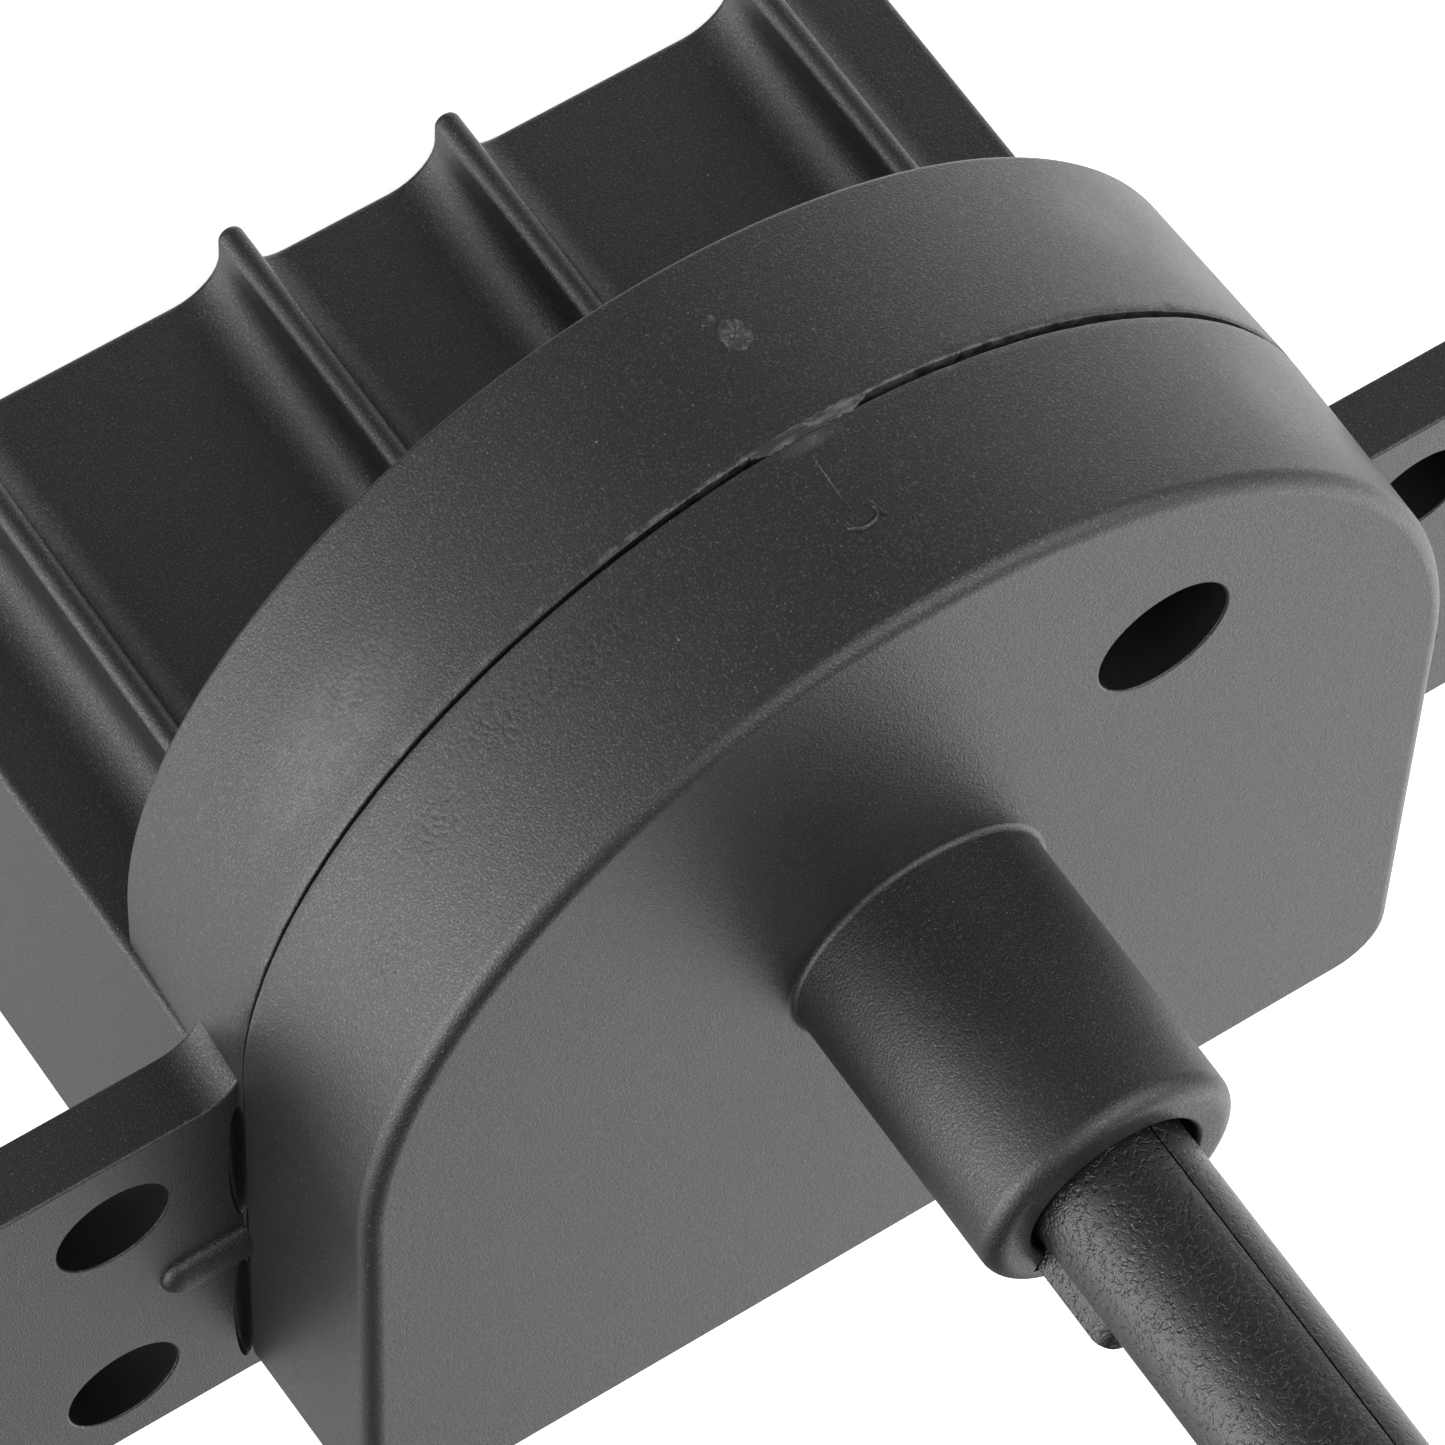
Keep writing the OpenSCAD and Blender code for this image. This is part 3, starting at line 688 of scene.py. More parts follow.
def shaded_bore_plastic():
    """Darker plastic for the drilled holes' walls: painted shade, since little light reaches them.
    """
    f = settings().finishes
    material, s = new_finish("shaded_bore_plastic")
    drag = s.noise(0.0004, 2, 0.6, stretch=(1.0, 1.0, 0.3))
    # Painted shade: the walls are darkened to between a fifth and a half of the housing's colour.
    base = s.blend(drag, tint(f.housing, 0.2), tint(f.housing, 0.5))
    s.surface({"Base Color": base, "Roughness": 0.6 + 0.2 * drag, "IOR": 1.22,
               "Normal": s.bump(drag, 0.00002, 0.6)})
    return material


def rotor_plastic():
    """Moulded plastic with flow marks, dust and fine scratches."""
    f = settings().finishes
    material, s = new_finish("rotor_plastic")
    grain = s.noise(0.0002, 3, 0.55)
    flow = s.noise(0.009, 3, 0.55, 0.7)
    scratch = s.noise(0.0005, 2, 0.6, 0.3, stretch=(0.15, 1.0, 1.0)).step(0.66, 0.76)
    base = s.blend(flow.step(0.3, 0.7), tint(f.rotor, 0.85), tint(f.rotor, 1.3))
    base = s.blend(s.specks(0.0012, 0.00007, 0.2) * 0.4, base, tint(f.speck))
    base = s.blend(scratch * 0.25, base, tint(f.scuff))
    s.surface({"Base Color": base, "Roughness": 0.33 + 0.10 * flow + 0.08 * grain, "IOR": 1.52,
               "Normal": s.bump(grain, 0.000016, 0.7)})
    return material


def screw_steel():
    material, s = new_finish("screw_steel")
    streaks = s.noise(0.0006, 3, 0.6, stretch=(1.0, 1.0, 0.25))
    base = s.blend(s.noise(0.004, 3, 0.6).step(0.3, 0.7), (0.50, 0.50, 0.51, 1),
                   (0.66, 0.66, 0.65, 1))
    base = s.blend(s.specks(0.0016, 0.00009, 0.2) * 0.5, base, (0.25, 0.24, 0.23, 1))
    s.surface({"Base Color": base, "Metallic": 1.0, "Roughness": 0.24 + 0.16 * streaks,
               "Normal": s.bump(streaks, 0.000006, 0.6)})
    return material


def board_laminate():
    """Green laminate with slightly raised copper lanes."""
    material, s = new_finish("board_laminate")
    across = s.add("ShaderNodeSeparateXYZ", None, {0: s.position()})
    lanes = (across * (2 * math.pi / 0.0032)).math("SINE").step(0.55, 0.75)
    lanes = lanes * s.noise(0.006, 1, 0.5).step(0.45, 0.5)
    weave = s.noise(0.0004, 2, 0.5)
    mask = s.blend(weave.step(0.3, 0.7), (0.012, 0.085, 0.035, 1), (0.018, 0.115, 0.048, 1))
    base = s.blend(lanes, mask, (0.035, 0.19, 0.085, 1))
    s.surface({"Base Color": base, "Roughness": 0.28 + 0.12 * weave,
               "Normal": s.bump(lanes, 0.00003, 0.6)})
    return material


def clouded(name, cloud, low, high, rough, fade=(0.3, 0.7), relief=None, dots=None, fixed=None):
    """Finish whose colour goes from low to high and whose roughness grows with soft clouds."""
    material, s = new_finish(name)
    clouds = s.noise(*cloud)
    base = s.blend(clouds.step(*fade), tint(low), tint(high))
    if dots:
        base = s.blend(s.specks(*dots[0]) * 0.5, base, tint(dots[1]))
    sockets = {"Base Color": base, "Roughness": rough[0] + rough[1] * clouds, **(fixed or {})}
    if relief:
        sockets["Normal"] = s.bump(s.noise(*relief[0]), *relief[1:])
    s.surface(sockets)
    return material


FINE_RELIEF = ((0.0003, 2, 0.5), 0.00001, 0.5)
CLOUDED = {
    "seal_rubber": {
        "cloud": (0.0012, 3, 0.6), "low": (0.003, 0.003, 0.003), "high": (0.007, 0.007, 0.007),
        "fade": (0.35, 0.75), "rough": (0.7, 0.15), "fixed": {"IOR": 1.3},
        "relief": ((0.00025, 2, 0.5), 0.00002, 0.6)},
    "bearing_steel": {
        "cloud": (0.0003, 2, 0.5, 0.0, (0.2, 0.2, 1.0)), "low": (0.60, 0.60, 0.61),
        "high": (0.74, 0.74, 0.75), "fade": (0.35, 0.65), "rough": (0.14, 0.12),
        "fixed": {"Metallic": 1.0}},
    "terminal_plastic": {
        "cloud": (0.002, 3, 0.6), "low": (0.030, 0.20, 0.085), "high": (0.045, 0.26, 0.115),
        "rough": (0.32, 0.15), "relief": FINE_RELIEF},
    "reed_glass": {
        "cloud": (0.003, 2, 0.5), "low": (0.60, 0.72, 0.64), "high": (0.72, 0.82, 0.75),
        "rough": (0.06, 0.08), "fixed": {"IOR": 1.5, "Transmission Weight": 0.5}},
    "wheel_plastic": {
        "cloud": (0.004, 3, 0.6), "low": (0.66, 0.65, 0.60), "high": (0.78, 0.77, 0.72),
        "rough": (0.42, 0.12), "relief": FINE_RELIEF,
        "dots": ((0.002, 0.00008, 0.2), (0.3, 0.28, 0.25))},
    "magnet": {
        "cloud": (0.0015, 3, 0.6), "low": (0.46, 0.46, 0.46), "high": (0.58, 0.57, 0.55),
        "rough": (0.22, 0.18), "fixed": {"Metallic": 1.0},
        "relief": ((0.0015, 3, 0.6), 0.00001, 0.5)},
}
FINISH_MAKERS = {maker.__name__: maker for maker in
                 (housing_plastic, mast_plastic, rotor_plastic, screw_steel, board_laminate)}
MADE = {}


def finish(slot):
    """The finish of a material slot, made once."""
    if slot not in MADE:
        MADE[slot] = (clouded(slot, **CLOUDED[slot]) if slot in CLOUDED
                      else FINISH_MAKERS[slot]())
    return MADE[slot]


# ---------------------------------------------------------------- housing

ARCH_STEPS = 420


def arch_ring(width, back, corner, z, wobble=None):
    """Arched outline with a flat back; wobble gives (inwards, along Z) moves for an angle."""
    points = []
    for i in range(ARCH_STEPS + 1):
        a = math.pi * i / ARCH_STEPS
        inward, rise = wobble(math.degrees(a)) if wobble else (0, 0)
        r = width - inward
        points.append((r * math.cos(a), ARCH_DROP - r * math.sin(a), z + rise))
    corners = arc((-width + corner, back - corner), corner, 180, 90, 8)
    corners += arc((width - corner, back - corner), corner, 90, 0, 8)
    return points + [(x, y, z) for x, y in corners]


def arch_body(name, levels, corner):
    """Arched solid through levels of (width, inset, z, wobble)."""
    return ring_solid(name, [arch_ring(w - d, BACK - d, max(corner - d, 0.05), z, wobble)
                             for w, d, z, wobble in levels])


def cavity(z0, z1):
    """Cutter for the hollow inside a half of the housing."""
    return ring_solid("cavity", [arch_ring(HALF_W - WALL, BACK - WALL, CAVITY_CORNER, z)
                                 for z in (z0, z1)])


def foot_outline():
    """Section of the ribbed foot, seen from its end."""
    edge, side = FOOT_EDGE, HALF_W - FOOT_EDGE
    points = arc((-side, BACK - edge), edge, 90, 180, 3)
    points += arc((-side, FOOT_TOP + edge), edge, 180, 270, 3)
    root, floor = RIB_HALF + RIB_FILLET, FOOT_TOP - RIB_FILLET
    for x in RIBS:
        points += arc((x - root, floor), RIB_FILLET, 90, 0, 8)
        points += arc((x, FOOT_TOP - RIB_H + RIB_HALF), RIB_HALF, 180, 360, 8)
        points += arc((x + root, floor), RIB_FILLET, 180, 90, 8)
    points += arc((side, FOOT_TOP + edge), edge, 270, 360, 3)
    points += arc((side, BACK - edge), edge, 0, 90, 3)
    return points


def ear_outline(side):
    """Outline of one ear, from inside the housing to its rounded tips."""
    fillet, tip, end, inside = 2.5, 4.0, REAR_HI.x, HALF_W - 3
    points = [(inside, BACK), (inside, EAR_TOP - fillet)]
    points += arc((HALF_W - 0.25 + fillet, EAR_TOP - fillet), fillet, 180, 90, 10)
    points += arc((end - tip, EAR_TOP + tip), tip, -90, 0, 10)
    points += arc((end - tip, BACK - tip), tip, 0, 90, 10)
    return [(side * x, y) for x, y in points]


def clamped(t):
    return max(0.0, min(1.0, t))


def gap_closing(degrees):
    """How far the rear half's edge rises into the parting gap, which narrows from the crown."""
    aside = 90 - degrees
    t = clamped((aside + 2) / 30 if aside > -2 else (-aside - 32) / 70)
    most = 0.56 + 0.28 * clamped((aside - 34) / 50) if aside > -2 else 0.5
    return (FRONT_Z - PART_Z) * most * t * t * (3 - 2 * t)


def parting_nicks(depth, seed, closing=False):
    """Small irregular nicks along a parting edge."""
    def wobble(degrees):
        rough = noise.noise(Vector((degrees * 0.37, seed, 0)))
        fine = noise.noise(Vector((degrees * 2.3, seed, 5)))
        worn = max(0.0, rough + 0.2) * (0.5 + fine)
        return (depth * clamped(1.4 * worn),
                (gap_closing(degrees) if closing else 0) - 0.3 * depth * fine)
    return wobble


def low_mound(name, angle, z, across, along, rise, seed):
    """Low rough oval mound on the rear half's crown, sunk a little into it."""
    steps, rings = 44, 8
    rows = []
    for j in range(1, rings + 1):
        t = j / rings
        row = []
        for k in range(steps):
            u = 2 * math.pi * k / steps
            ragged = 1 + 0.22 * noise.noise(Vector((math.cos(u) * 1.4, math.sin(u) * 1.4, seed)))
            dx = across * t * math.cos(u) * ragged
            dz = along * t * math.sin(u) * ragged
            bumpy = 0.9 * noise.noise(Vector((dx * 3.4, dz * 3.4, seed))) + \
                0.5 * noise.noise(Vector((dx * 8, dz * 8, seed + 1)))
            dome = math.sqrt(max(0.0, 1 - t * t))
            h = rise * (0.75 + bumpy) * dome - (0.03 if j == rings else 0)
            r = HALF_W - REAR_TAPER * (PART_Z - z) / REAR_DEPTH + h
            a = math.radians(angle) + dx / HALF_W
            row.append((r * math.sin(a), ARCH_DROP - r * math.cos(a), z + dz))
        rows.append(row)
    rows.append([(x, y + 0.6, height) for x, y, height in rows[-1]])
    return ring_solid(name, rows)


def soft_finger(side):
    """Low rounded finger on an ear's front face, from the housing's side to the ear's tip."""
    length_x, half, height, sunk, y = 5.6, 1.45, 0.8, 1.0, 17

    def place(p):
        outwards = p.x > 0
        x = HALF_W - 0.9 + (length_x - half if outwards else 0) + p.x * half
        sag = 0.25 * (1 - p.x) if outwards else 0
        z = PART_Z + p.z * (height if p.z > 0 else sunk)
        return side * x, y + p.y * (half - 0.2 * sag), z

    return ball("ear_rib", 48, 24, place)


def crease(side, y, half_length):
    """Cutter for the sunk dark crease between an ear's front face and the front half's side."""
    return ball("crease", 32, 20, lambda p: (side * (HALF_W + 0.1 + 0.62 * p.x),
                                             y + half_length * p.y, PART_Z + 0.05 + 1.2 * p.z))


def paint_bore_shade(obj, holes, radius):
    """Gives the walls of holes along Z the bore finish with painted shade; the piece is already in
    the frame.
    """
    obj.data.materials.append(shaded_bore_plastic())
    for face in obj.data.polygons:
        x, y = face.center.x / MM, (face.center.y - AXIS_Y) / MM
        near = any(math.hypot(x - hole[0], y - hole[1]) < radius + 0.06 for hole in holes)
        if near and abs(face.normal.z) < 0.5:
            face.material_index = 1


def build_rear_housing():
    s = settings().housing
    back, lip, nick, ear = (v / MM for v in (s.back_round, s.lip_round, s.nick_depth, s.ear_round))

    def width(z):
        return HALF_W - REAR_TAPER * (PART_Z - z) / REAR_DEPTH

    levels = [(width(REAR_Z), d, z, None) for d, z in edge_profile(REAR_Z, back, True)]
    levels += [(width(z), 0, z, None) for z in (PART_Z - 1.2, PART_Z - 0.5)]
    worn = parting_nicks(nick, 11, True)
    levels += [(HALF_W, d, z, worn) for d, z in edge_profile(PART_Z, lip, False, 3)]
    body = arch_body("rear_half", levels, 0.5)
    ears = []
    for side in (-1, 1):
        ears += [prism("ear", ear_outline(side), 0, PART_Z, ear, ear), soft_finger(side)]
    join(body, prism("foot", foot_outline(), FOOT_Z, 0, 0.4), *ears)
    join(body, low_mound("gate_mark", 0.4, GATE_Z, 0.78, 0.95, 0.17, 3),
         low_mound("gate_stub", 1.5, GATE_Z - 1.35, 0.4, 0.34, 0.1, 9))
    hollow = block("hollow", (-HALF_W + FOOT_WALL, FOOT_TOP + FOOT_WALL, FOOT_Z - PAST),
                   (HALF_W - FOOT_WALL, BACK - FOOT_WALL, REAR_Z))
    cut(body, cavity(REAR_FLOOR_Z, PART_Z + 2), hollow)
    join(body, *rods("post", HOUSING_SCREWS, REAR_Z + 0.5, PART_Z, REAR_POST_R),
         *rods("cover_post", COVER_SCREWS, COVER_TOP_Z, REAR_Z + 1, COVER_POST_R))
    drills = [hole_cutter("ear_hole", place, 0, PART_Z, EAR_HOLE_R, EAR_HOLE_LIP)
              for place in EAR_HOLES]
    drills += [crease(side, *where) for side in (-1, 1) for where in CREASES]
    screw_room = [(0, REAR_Z - PAST), (HEAD_R + 0.2, REAR_Z - PAST), (HEAD_R + 0.2, REAR_Z),
                  (HEAD_R, REAR_Z + 0.2), (HEAD_R, REAR_Z + HEAD_DEPTH),
                  (SHANK_R, REAR_Z + HEAD_DEPTH), (SHANK_R, PART_Z + 2), (0, PART_Z + 2)]
    drills += [lathe("screw_hole", screw_room, 48, axis=place) for place in HOUSING_SCREWS]
    drills += rods("cover_hole", COVER_SCREWS, FOOT_Z - PAST, FOOT_Z + 13, 1)
    cut(body, *drills)
    weld(body.data)
    finish_piece(body, "housing", "rear_housing")
    # The ear holes' walls get painted shade.
    paint_bore_shade(body, EAR_HOLES, EAR_HOLE_R)
    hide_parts("rear_housing")


def build_front_housing():
    s = settings().housing
    edge, lip, nick = s.face_round / MM, s.lip_round / MM, s.nick_depth / MM
    round_end, root = s.boss_round / MM, s.root_fillet / MM

    def width(z):
        return HALF_W - FRONT_TAPER * (z - FRONT_Z) / (FACE_Z - FRONT_Z)

    worn = parting_nicks(nick * 0.5, 47)
    levels = [(HALF_W, d, z, worn) for d, z in edge_profile(FRONT_Z, lip, True, 3)]
    levels.append((width(FRONT_Z + 0.5), 0, FRONT_Z + 0.5, None))
    levels += [(width(FACE_Z - edge), d, z, None)
               for d, z in edge_profile(FACE_Z, edge, False, 10)]
    body = arch_body("front_half", levels, LOWER_CORNER)
    cut(body, cavity(FRONT_Z - 2, FACE_INNER_Z))
    posts = rods("post", HOUSING_SCREWS, FRONT_Z, POST_TOP_Z, FRONT_POST_R)
    posts += rods("board_post", BOARD_POSTS, BOARD_TOP_Z, POST_TOP_Z, SMALL_POST_R)
    posts += rods("retainer_post", RETAINER_POSTS, RETAINER_TOP_Z, POST_TOP_Z, SMALL_POST_R)
    posts.append(rod("outlet_sleeve", OUTLET, FACE_Z - SLEEVE_DEPTH, POST_TOP_Z,
                     OUTLET_R + 1.2, 64))
    posts.append(rod("bearing_boss", (0, 0), RETAINER_TOP_Z, FACE_Z - 0.5, BEARING_BOSS_R, 64))
    join(body, *posts)

    boss = [(0, FACE_Z - 1), (BOSS_R + root, FACE_Z - 1)]
    boss += arc((BOSS_R + root, FACE_Z + root), root, 270, 180, 5)
    boss += arc((BOSS_R - round_end, BOSS_Z - round_end), round_end, 0, 90, 10) + [(0, BOSS_Z)]
    join(body, lathe("boss", boss, 160))

    start, mouth = RETAINER_TOP_Z - PAST, BOSS_Z - MOUTH_DEPTH
    bores = [(0, start), (BEARING_R, start), (BEARING_R, BEARING_TOP_Z),
             (SHAFT_ROOM_R, BEARING_TOP_Z), (SHAFT_ROOM_R, MAST_SEAT_Z),
             (MAST_SEAT, MAST_SEAT_Z), (MAST_SEAT, mouth), (MOUTH_R, mouth)]
    bores += arc((MOUTH_R + MOUTH_RIM, BOSS_Z - MOUTH_RIM), MOUTH_RIM, 180, 90, 5)
    bores += [(MOUTH_R + MOUTH_RIM, BOSS_Z + PAST), (0, BOSS_Z + PAST)]
    slot_half = KEY_W / 2 + SLOT_PLAY
    slot = block("key_slot", (-slot_half, -MAST_R - KEY_H - SLOT_PLAY, FACE_INNER_Z + 1),
                 (slot_half, 0, BOSS_Z + 2))
    move(slot, Matrix.Rotation(SPLIT_TURN, 4, "Z"))
    outlet = hole_cutter("outlet", OUTLET, FACE_Z - SLEEVE_DEPTH, FACE_Z, OUTLET_R, OUTLET_LIP, 96)
    drills = [lathe("bores", bores, 128), slot, outlet]
    drills += rods("pilot", HOUSING_SCREWS, FRONT_Z - PAST, FRONT_Z + 8, PILOT_R, 24)
    drills += rods("pilot", BOARD_POSTS, BOARD_TOP_Z - PAST, BOARD_TOP_Z + 3.4, SMALL_PILOT_R, 24)
    drills += rods("pilot", RETAINER_POSTS, RETAINER_TOP_Z - PAST, RETAINER_TOP_Z + 6,
                   SMALL_PILOT_R, 24)
    cut(body, *drills)
    weld(body.data)
    finish_piece(body, "housing", "front_housing")
    # The outlet's wall gets painted shade.
    paint_bore_shade(body, [OUTLET], OUTLET_R)
    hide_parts("front_housing")


def build_parting_flash():
    """Thin smeared flap that closes a short stretch of the parting line near the crown."""
    steps, across, thickness = 90, 6, 0.16
    rings = []
    for i in range(steps + 1):
        degrees = -5.2 + 11.4 * i / steps
        end = min(i, steps - i) / steps
        fade = min(1.0, end * 7)
        ragged = noise.noise(Vector((degrees * 1.7, 3, 0)))
        fine = noise.noise(Vector((degrees * 6.5, 8, 0)))
        low = PART_Z - 0.10 - fade * (0.10 + 0.10 * ragged)
        high = FRONT_Z - 0.24 + fade * (0.34 + 0.10 * ragged + 0.10 * fine)
        a = math.radians(degrees)
        outer, inner = [], []
        for j in range(across + 1):
            t = j / across
            z = low + (high - low) * t
            uneven = 0.03 * noise.noise(Vector((degrees * 4, z * 5, 1)))
            r = HALF_W + max(0.012, 0.035 * math.sin(math.pi * t) + uneven)
            outer.append((r * math.sin(a), ARCH_DROP - r * math.cos(a), z))
            r -= thickness
            inner.append((r * math.sin(a), ARCH_DROP - r * math.cos(a), z))
        rings.append(outer + inner[::-1])
    flap = ring_solid("parting_flash", rings)
    finish_piece(flap, "housing", "front_housing", sharp=40, material=smeared_glinting_plastic())


def build_witness_marks():
    """Fine raised witness line and a small curl on the front half's crown."""
    radius, buried, edge = HALF_W - 0.03, -0.12, -0.01
    bm = bmesh.new()

    def ridge(path, half, height):
        rings = []
        last = len(path) - 1
        for k, (degrees, z) in enumerate(path):
            ahead, behind = path[min(k + 1, last)], path[max(k - 1, 0)]
            along = Vector(((ahead[0] - behind[0]) * math.pi / 180 * radius,
                            ahead[1] - behind[1])).normalized()
            top = height * min(1.0, 0.25 + min(k, last - k) / 4)
            ring = []
            for offset, rise in ((-half, buried), (-half, edge), (0, top), (half, edge),
                                 (half, buried)):
                a = math.radians(degrees) - along.y * offset / radius
                r = radius + rise
                ring.append((r * math.sin(a), ARCH_DROP - r * math.cos(a), z + along.x * offset))
            rings.append(ring)
        skin(bm, rings)

    line = [(1.75 + 0.35 * i / 16 + 0.05 * noise.noise(Vector((i * 0.7, 2, 0))),
             FRONT_Z + 0.15 + 4.3 * i / 16) for i in range(17)]
    turns = [math.radians(a) for a in range(-20, 250, 15)]
    curl = [(1.7 + 1.5 * math.cos(a), PART_Z + 5.3 + 0.62 * math.sin(a)) for a in turns]
    tail = [(0.55 - 0.1 * i, PART_Z + 4.75 + 0.16 * i) for i in range(8)]
    ridge(line, 0.05, 0.02)
    ridge(curl, 0.13, 0.07)
    ridge(tail, 0.11, 0.06)
    marks = new_solid("witness_marks", bm)
    finish_piece(marks, "housing", "front_housing", sharp=60)


# ---------------------------------------------------------------- mast

def shell_section(z, inner, outer, gap):
    """Half-ring section on the +X side of the split frame, with its split edges softened."""
    soft, outer_steps, inner_steps = 0.09, 48, 24
    shrink = {0: soft, 1: soft * 0.35, outer_steps - 1: soft * 0.35, outer_steps: soft}
    points = []
    start = math.asin(gap / outer)
    for i in range(outer_steps + 1):
        a = start + (math.pi - 2 * start) * i / outer_steps
        r = outer - shrink.get(i, 0.0)
        points.append((r * math.sin(a), r * math.cos(a), z))
    start = math.asin(gap / inner)
    for i in range(inner_steps + 1):
        a = math.pi - start - (math.pi - 2 * start) * i / inner_steps
        points.append((inner * math.sin(a), inner * math.cos(a), z))
    return points


def mast_shell(name, side):
    """One half of the tube with a slightly uneven split edge and skin."""
    levels = []
    z = MAST_LO.z
    while z < MAST_HI.z - 0.2:
        levels.append(z)
        z += 0.45
    levels.append(MAST_HI.z)
    rings = []
    for z in levels:
        gap = SPLIT_GAP / 2 + 0.035 * noise.noise(Vector((0, side, z * 1.3))) \
            + 0.02 * noise.noise(Vector((4, side, z * 3.7)))
        swell = 0.012 * noise.noise(Vector((9, side, z * 0.22)))
        rings.append(shell_section(z, MAST_BORE_R, MAST_R - 0.012 + swell, max(0.03, gap)))
    shell = ring_solid(name, rings)
    if side < 0:
        move(shell, Matrix.Scale(-1, 4, (1, 0, 0)))
        shell.data.flip_normals()
    return cut(shell, rod("bearing_seat", (0, 0), *TOP_SEAT_Z, TOP_SEAT_R, 96))


def build_mast():
    left = mast_shell("mast_left", 1)
    right = mast_shell("mast_right", -1)
    key = block("mast_key", (-KEY_W / 2, -MAST_R - KEY_H, FACE_Z), (KEY_W / 2, -1.05, KEY_END), 0.3)
    flank, nose_x, nose_z = KEY_W / 2 + 1, KEY_W / 2 - KEY_NOSE, KEY_END - KEY_NOSE
    corner = [(flank, KEY_END + 1), (flank, nose_z)]
    corner += arc((nose_x, nose_z), KEY_NOSE, 0, 90, 10) + [(nose_x, KEY_END + 1)]
    for side in (-1, 1):
        wedge = prism("nose_cut", [(side * x, z) for x, z in corner], 0, 12)
        cut(key, move(wedge, Matrix.Rotation(math.radians(90), 4, "X")))
    low, high, split = FACE_Z - PAST, KEY_END + 5, -SPLIT_GAP / 2
    outline = [(split, -MAST_SEAT)] + arc((0, 0), MAST_SEAT, -90, 90, 48) + [(split, MAST_SEAT)]
    cut(key, rod("bore", (0, 0), low, high, MAST_BORE_R, 96), prism("relief", outline, low, high))
    join(right, key)
    for shell, node in ((left, "mast_left_shell"), (right, "mast_right_shell")):
        move(shell, Matrix.Rotation(SPLIT_TURN, 4, "Z"))
        weld(shell.data)
        finish_piece(shell, "housing", node, sharp=28)
        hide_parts(node)


def build_collar():
    z0, z1, outer, inner = COLLAR_LO.z, COLLAR_HI.z, COLLAR_HI.x, MAST_SEAT
    r, chamfer, half_grip, grip_depth = 0.4, 0.1, 0.25, 0.12
    profile = [(inner, z0 + chamfer), (inner + chamfer, z0)]
    profile += arc((outer - r, z0 + r), r, -90, 0, 5)
    for grip in range(3):
        z = z0 + 2 + 1.1 * grip
        profile += [(outer, z - half_grip), (outer - grip_depth, z), (outer, z + half_grip)]
    profile += arc((outer - r, z1 - r), r, 0, 90, 5)
    profile += [(inner + chamfer, z1), (inner, z1 - chamfer)]
    collar = lathe("mast_ring", profile, 128, closed=True)
    finish_piece(collar, "housing", "mast_collar")
    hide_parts("mast_collar")


# ---------------------------------------------------------------- rotor

def arm_grooves():
    """Cutters for the arms' seats between the hub's halves."""
    place = Matrix.Translation((0, 0, ARM_Z)) @ TO_X
    return [turn(move(rod("groove", (0, 0), 0, HUB_R + 2, ARM_SEAT, 64), place), degrees)
            for degrees in ARM_TURNS]


def build_hub():
    r = settings().rotor.hub_round / MM
    z0, foot, (inner, outer) = HUB_LO.z, HUB_FOOT_Z, SKIRT_R
    profile = [(SHAFT_SEAT, z0 + 5.37), (2, z0 + 5.37), (2, foot), (inner, foot),
               (inner, z0 + 0.15), (inner + 0.15, z0)]
    profile += arc((outer - SKIRT_EDGE, z0 + SKIRT_EDGE), SKIRT_EDGE, -90, 0, 4)
    profile += arc((outer + HUB_FLARE, foot - HUB_FLARE), HUB_FLARE, 180, 90, 6)
    profile += arc((HUB_R - r, foot + r), r, -90, 0, 6)
    profile += arc((HUB_R - HUB_EDGE, HUB_HI.z - HUB_EDGE), HUB_EDGE, 0, 90, 3)
    profile += [(SHAFT_SEAT, HUB_HI.z)]
    base = lathe("hub_lower", profile, 160, closed=True)
    screws = [turn(rod("pilot", (CLAMP_ORBIT, 0), foot + 1.2, HUB_HI.z + 2, 0.9, 24), degrees)
              for degrees in CLAMP_TURNS]
    cut(base, *arm_grooves(), *screws)
    weld(base.data)
    finish_piece(base, "rotor", "hub_base")
    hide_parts("hub_base")

    z0, z1 = CLAMP_LO.z, CLAMP_HI.z
    seat = z1 - 1.4
    profile = [(SHAFT_SEAT, z0)] + arc((HUB_R - HUB_EDGE, z0 + HUB_EDGE), HUB_EDGE, -90, 0, 3)
    profile += arc((HUB_R - HUB_EDGE, z1 - HUB_EDGE), HUB_EDGE, 0, 90, 3) + [(SHAFT_SEAT, z1)]
    clamp = lathe("hub_upper", profile, 160, closed=True)
    room = [(0, z0 - PAST), (1.1, z0 - PAST), (1.1, seat), (2, seat), (2, z1 + PAST),
            (0, z1 + PAST)]
    holes = [turn(lathe("counterbore", room, 32, axis=(CLAMP_ORBIT, 0)), degrees)
             for degrees in CLAMP_TURNS]
    cut(clamp, *arm_grooves(), *holes)
    weld(clamp.data)
    finish_piece(clamp, "rotor", "hub_clamp")
    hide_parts("hub_clamp")

    z0, z1 = CAP_LO.z, CAP_HI.z
    rise = z1 - z0
    radius = (HUB_R ** 2 + rise ** 2) / (2 * rise)
    half = math.degrees(math.asin(HUB_R / radius))
    profile = [(0, z0 + 2.4), (4.7, z0 + 2.4), (5, z0 + 2.1), (5, z0), (HUB_R - 0.12, z0),
               (HUB_R - 0.02, z0 + 0.07)]
    profile += arc((0, z1 - radius), radius, 90 - half, 90, 24)[1:]
    cap = lathe("hub_dome", profile, 160)
    finish_piece(cap, "rotor", "hub_cap")
    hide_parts("hub_cap")


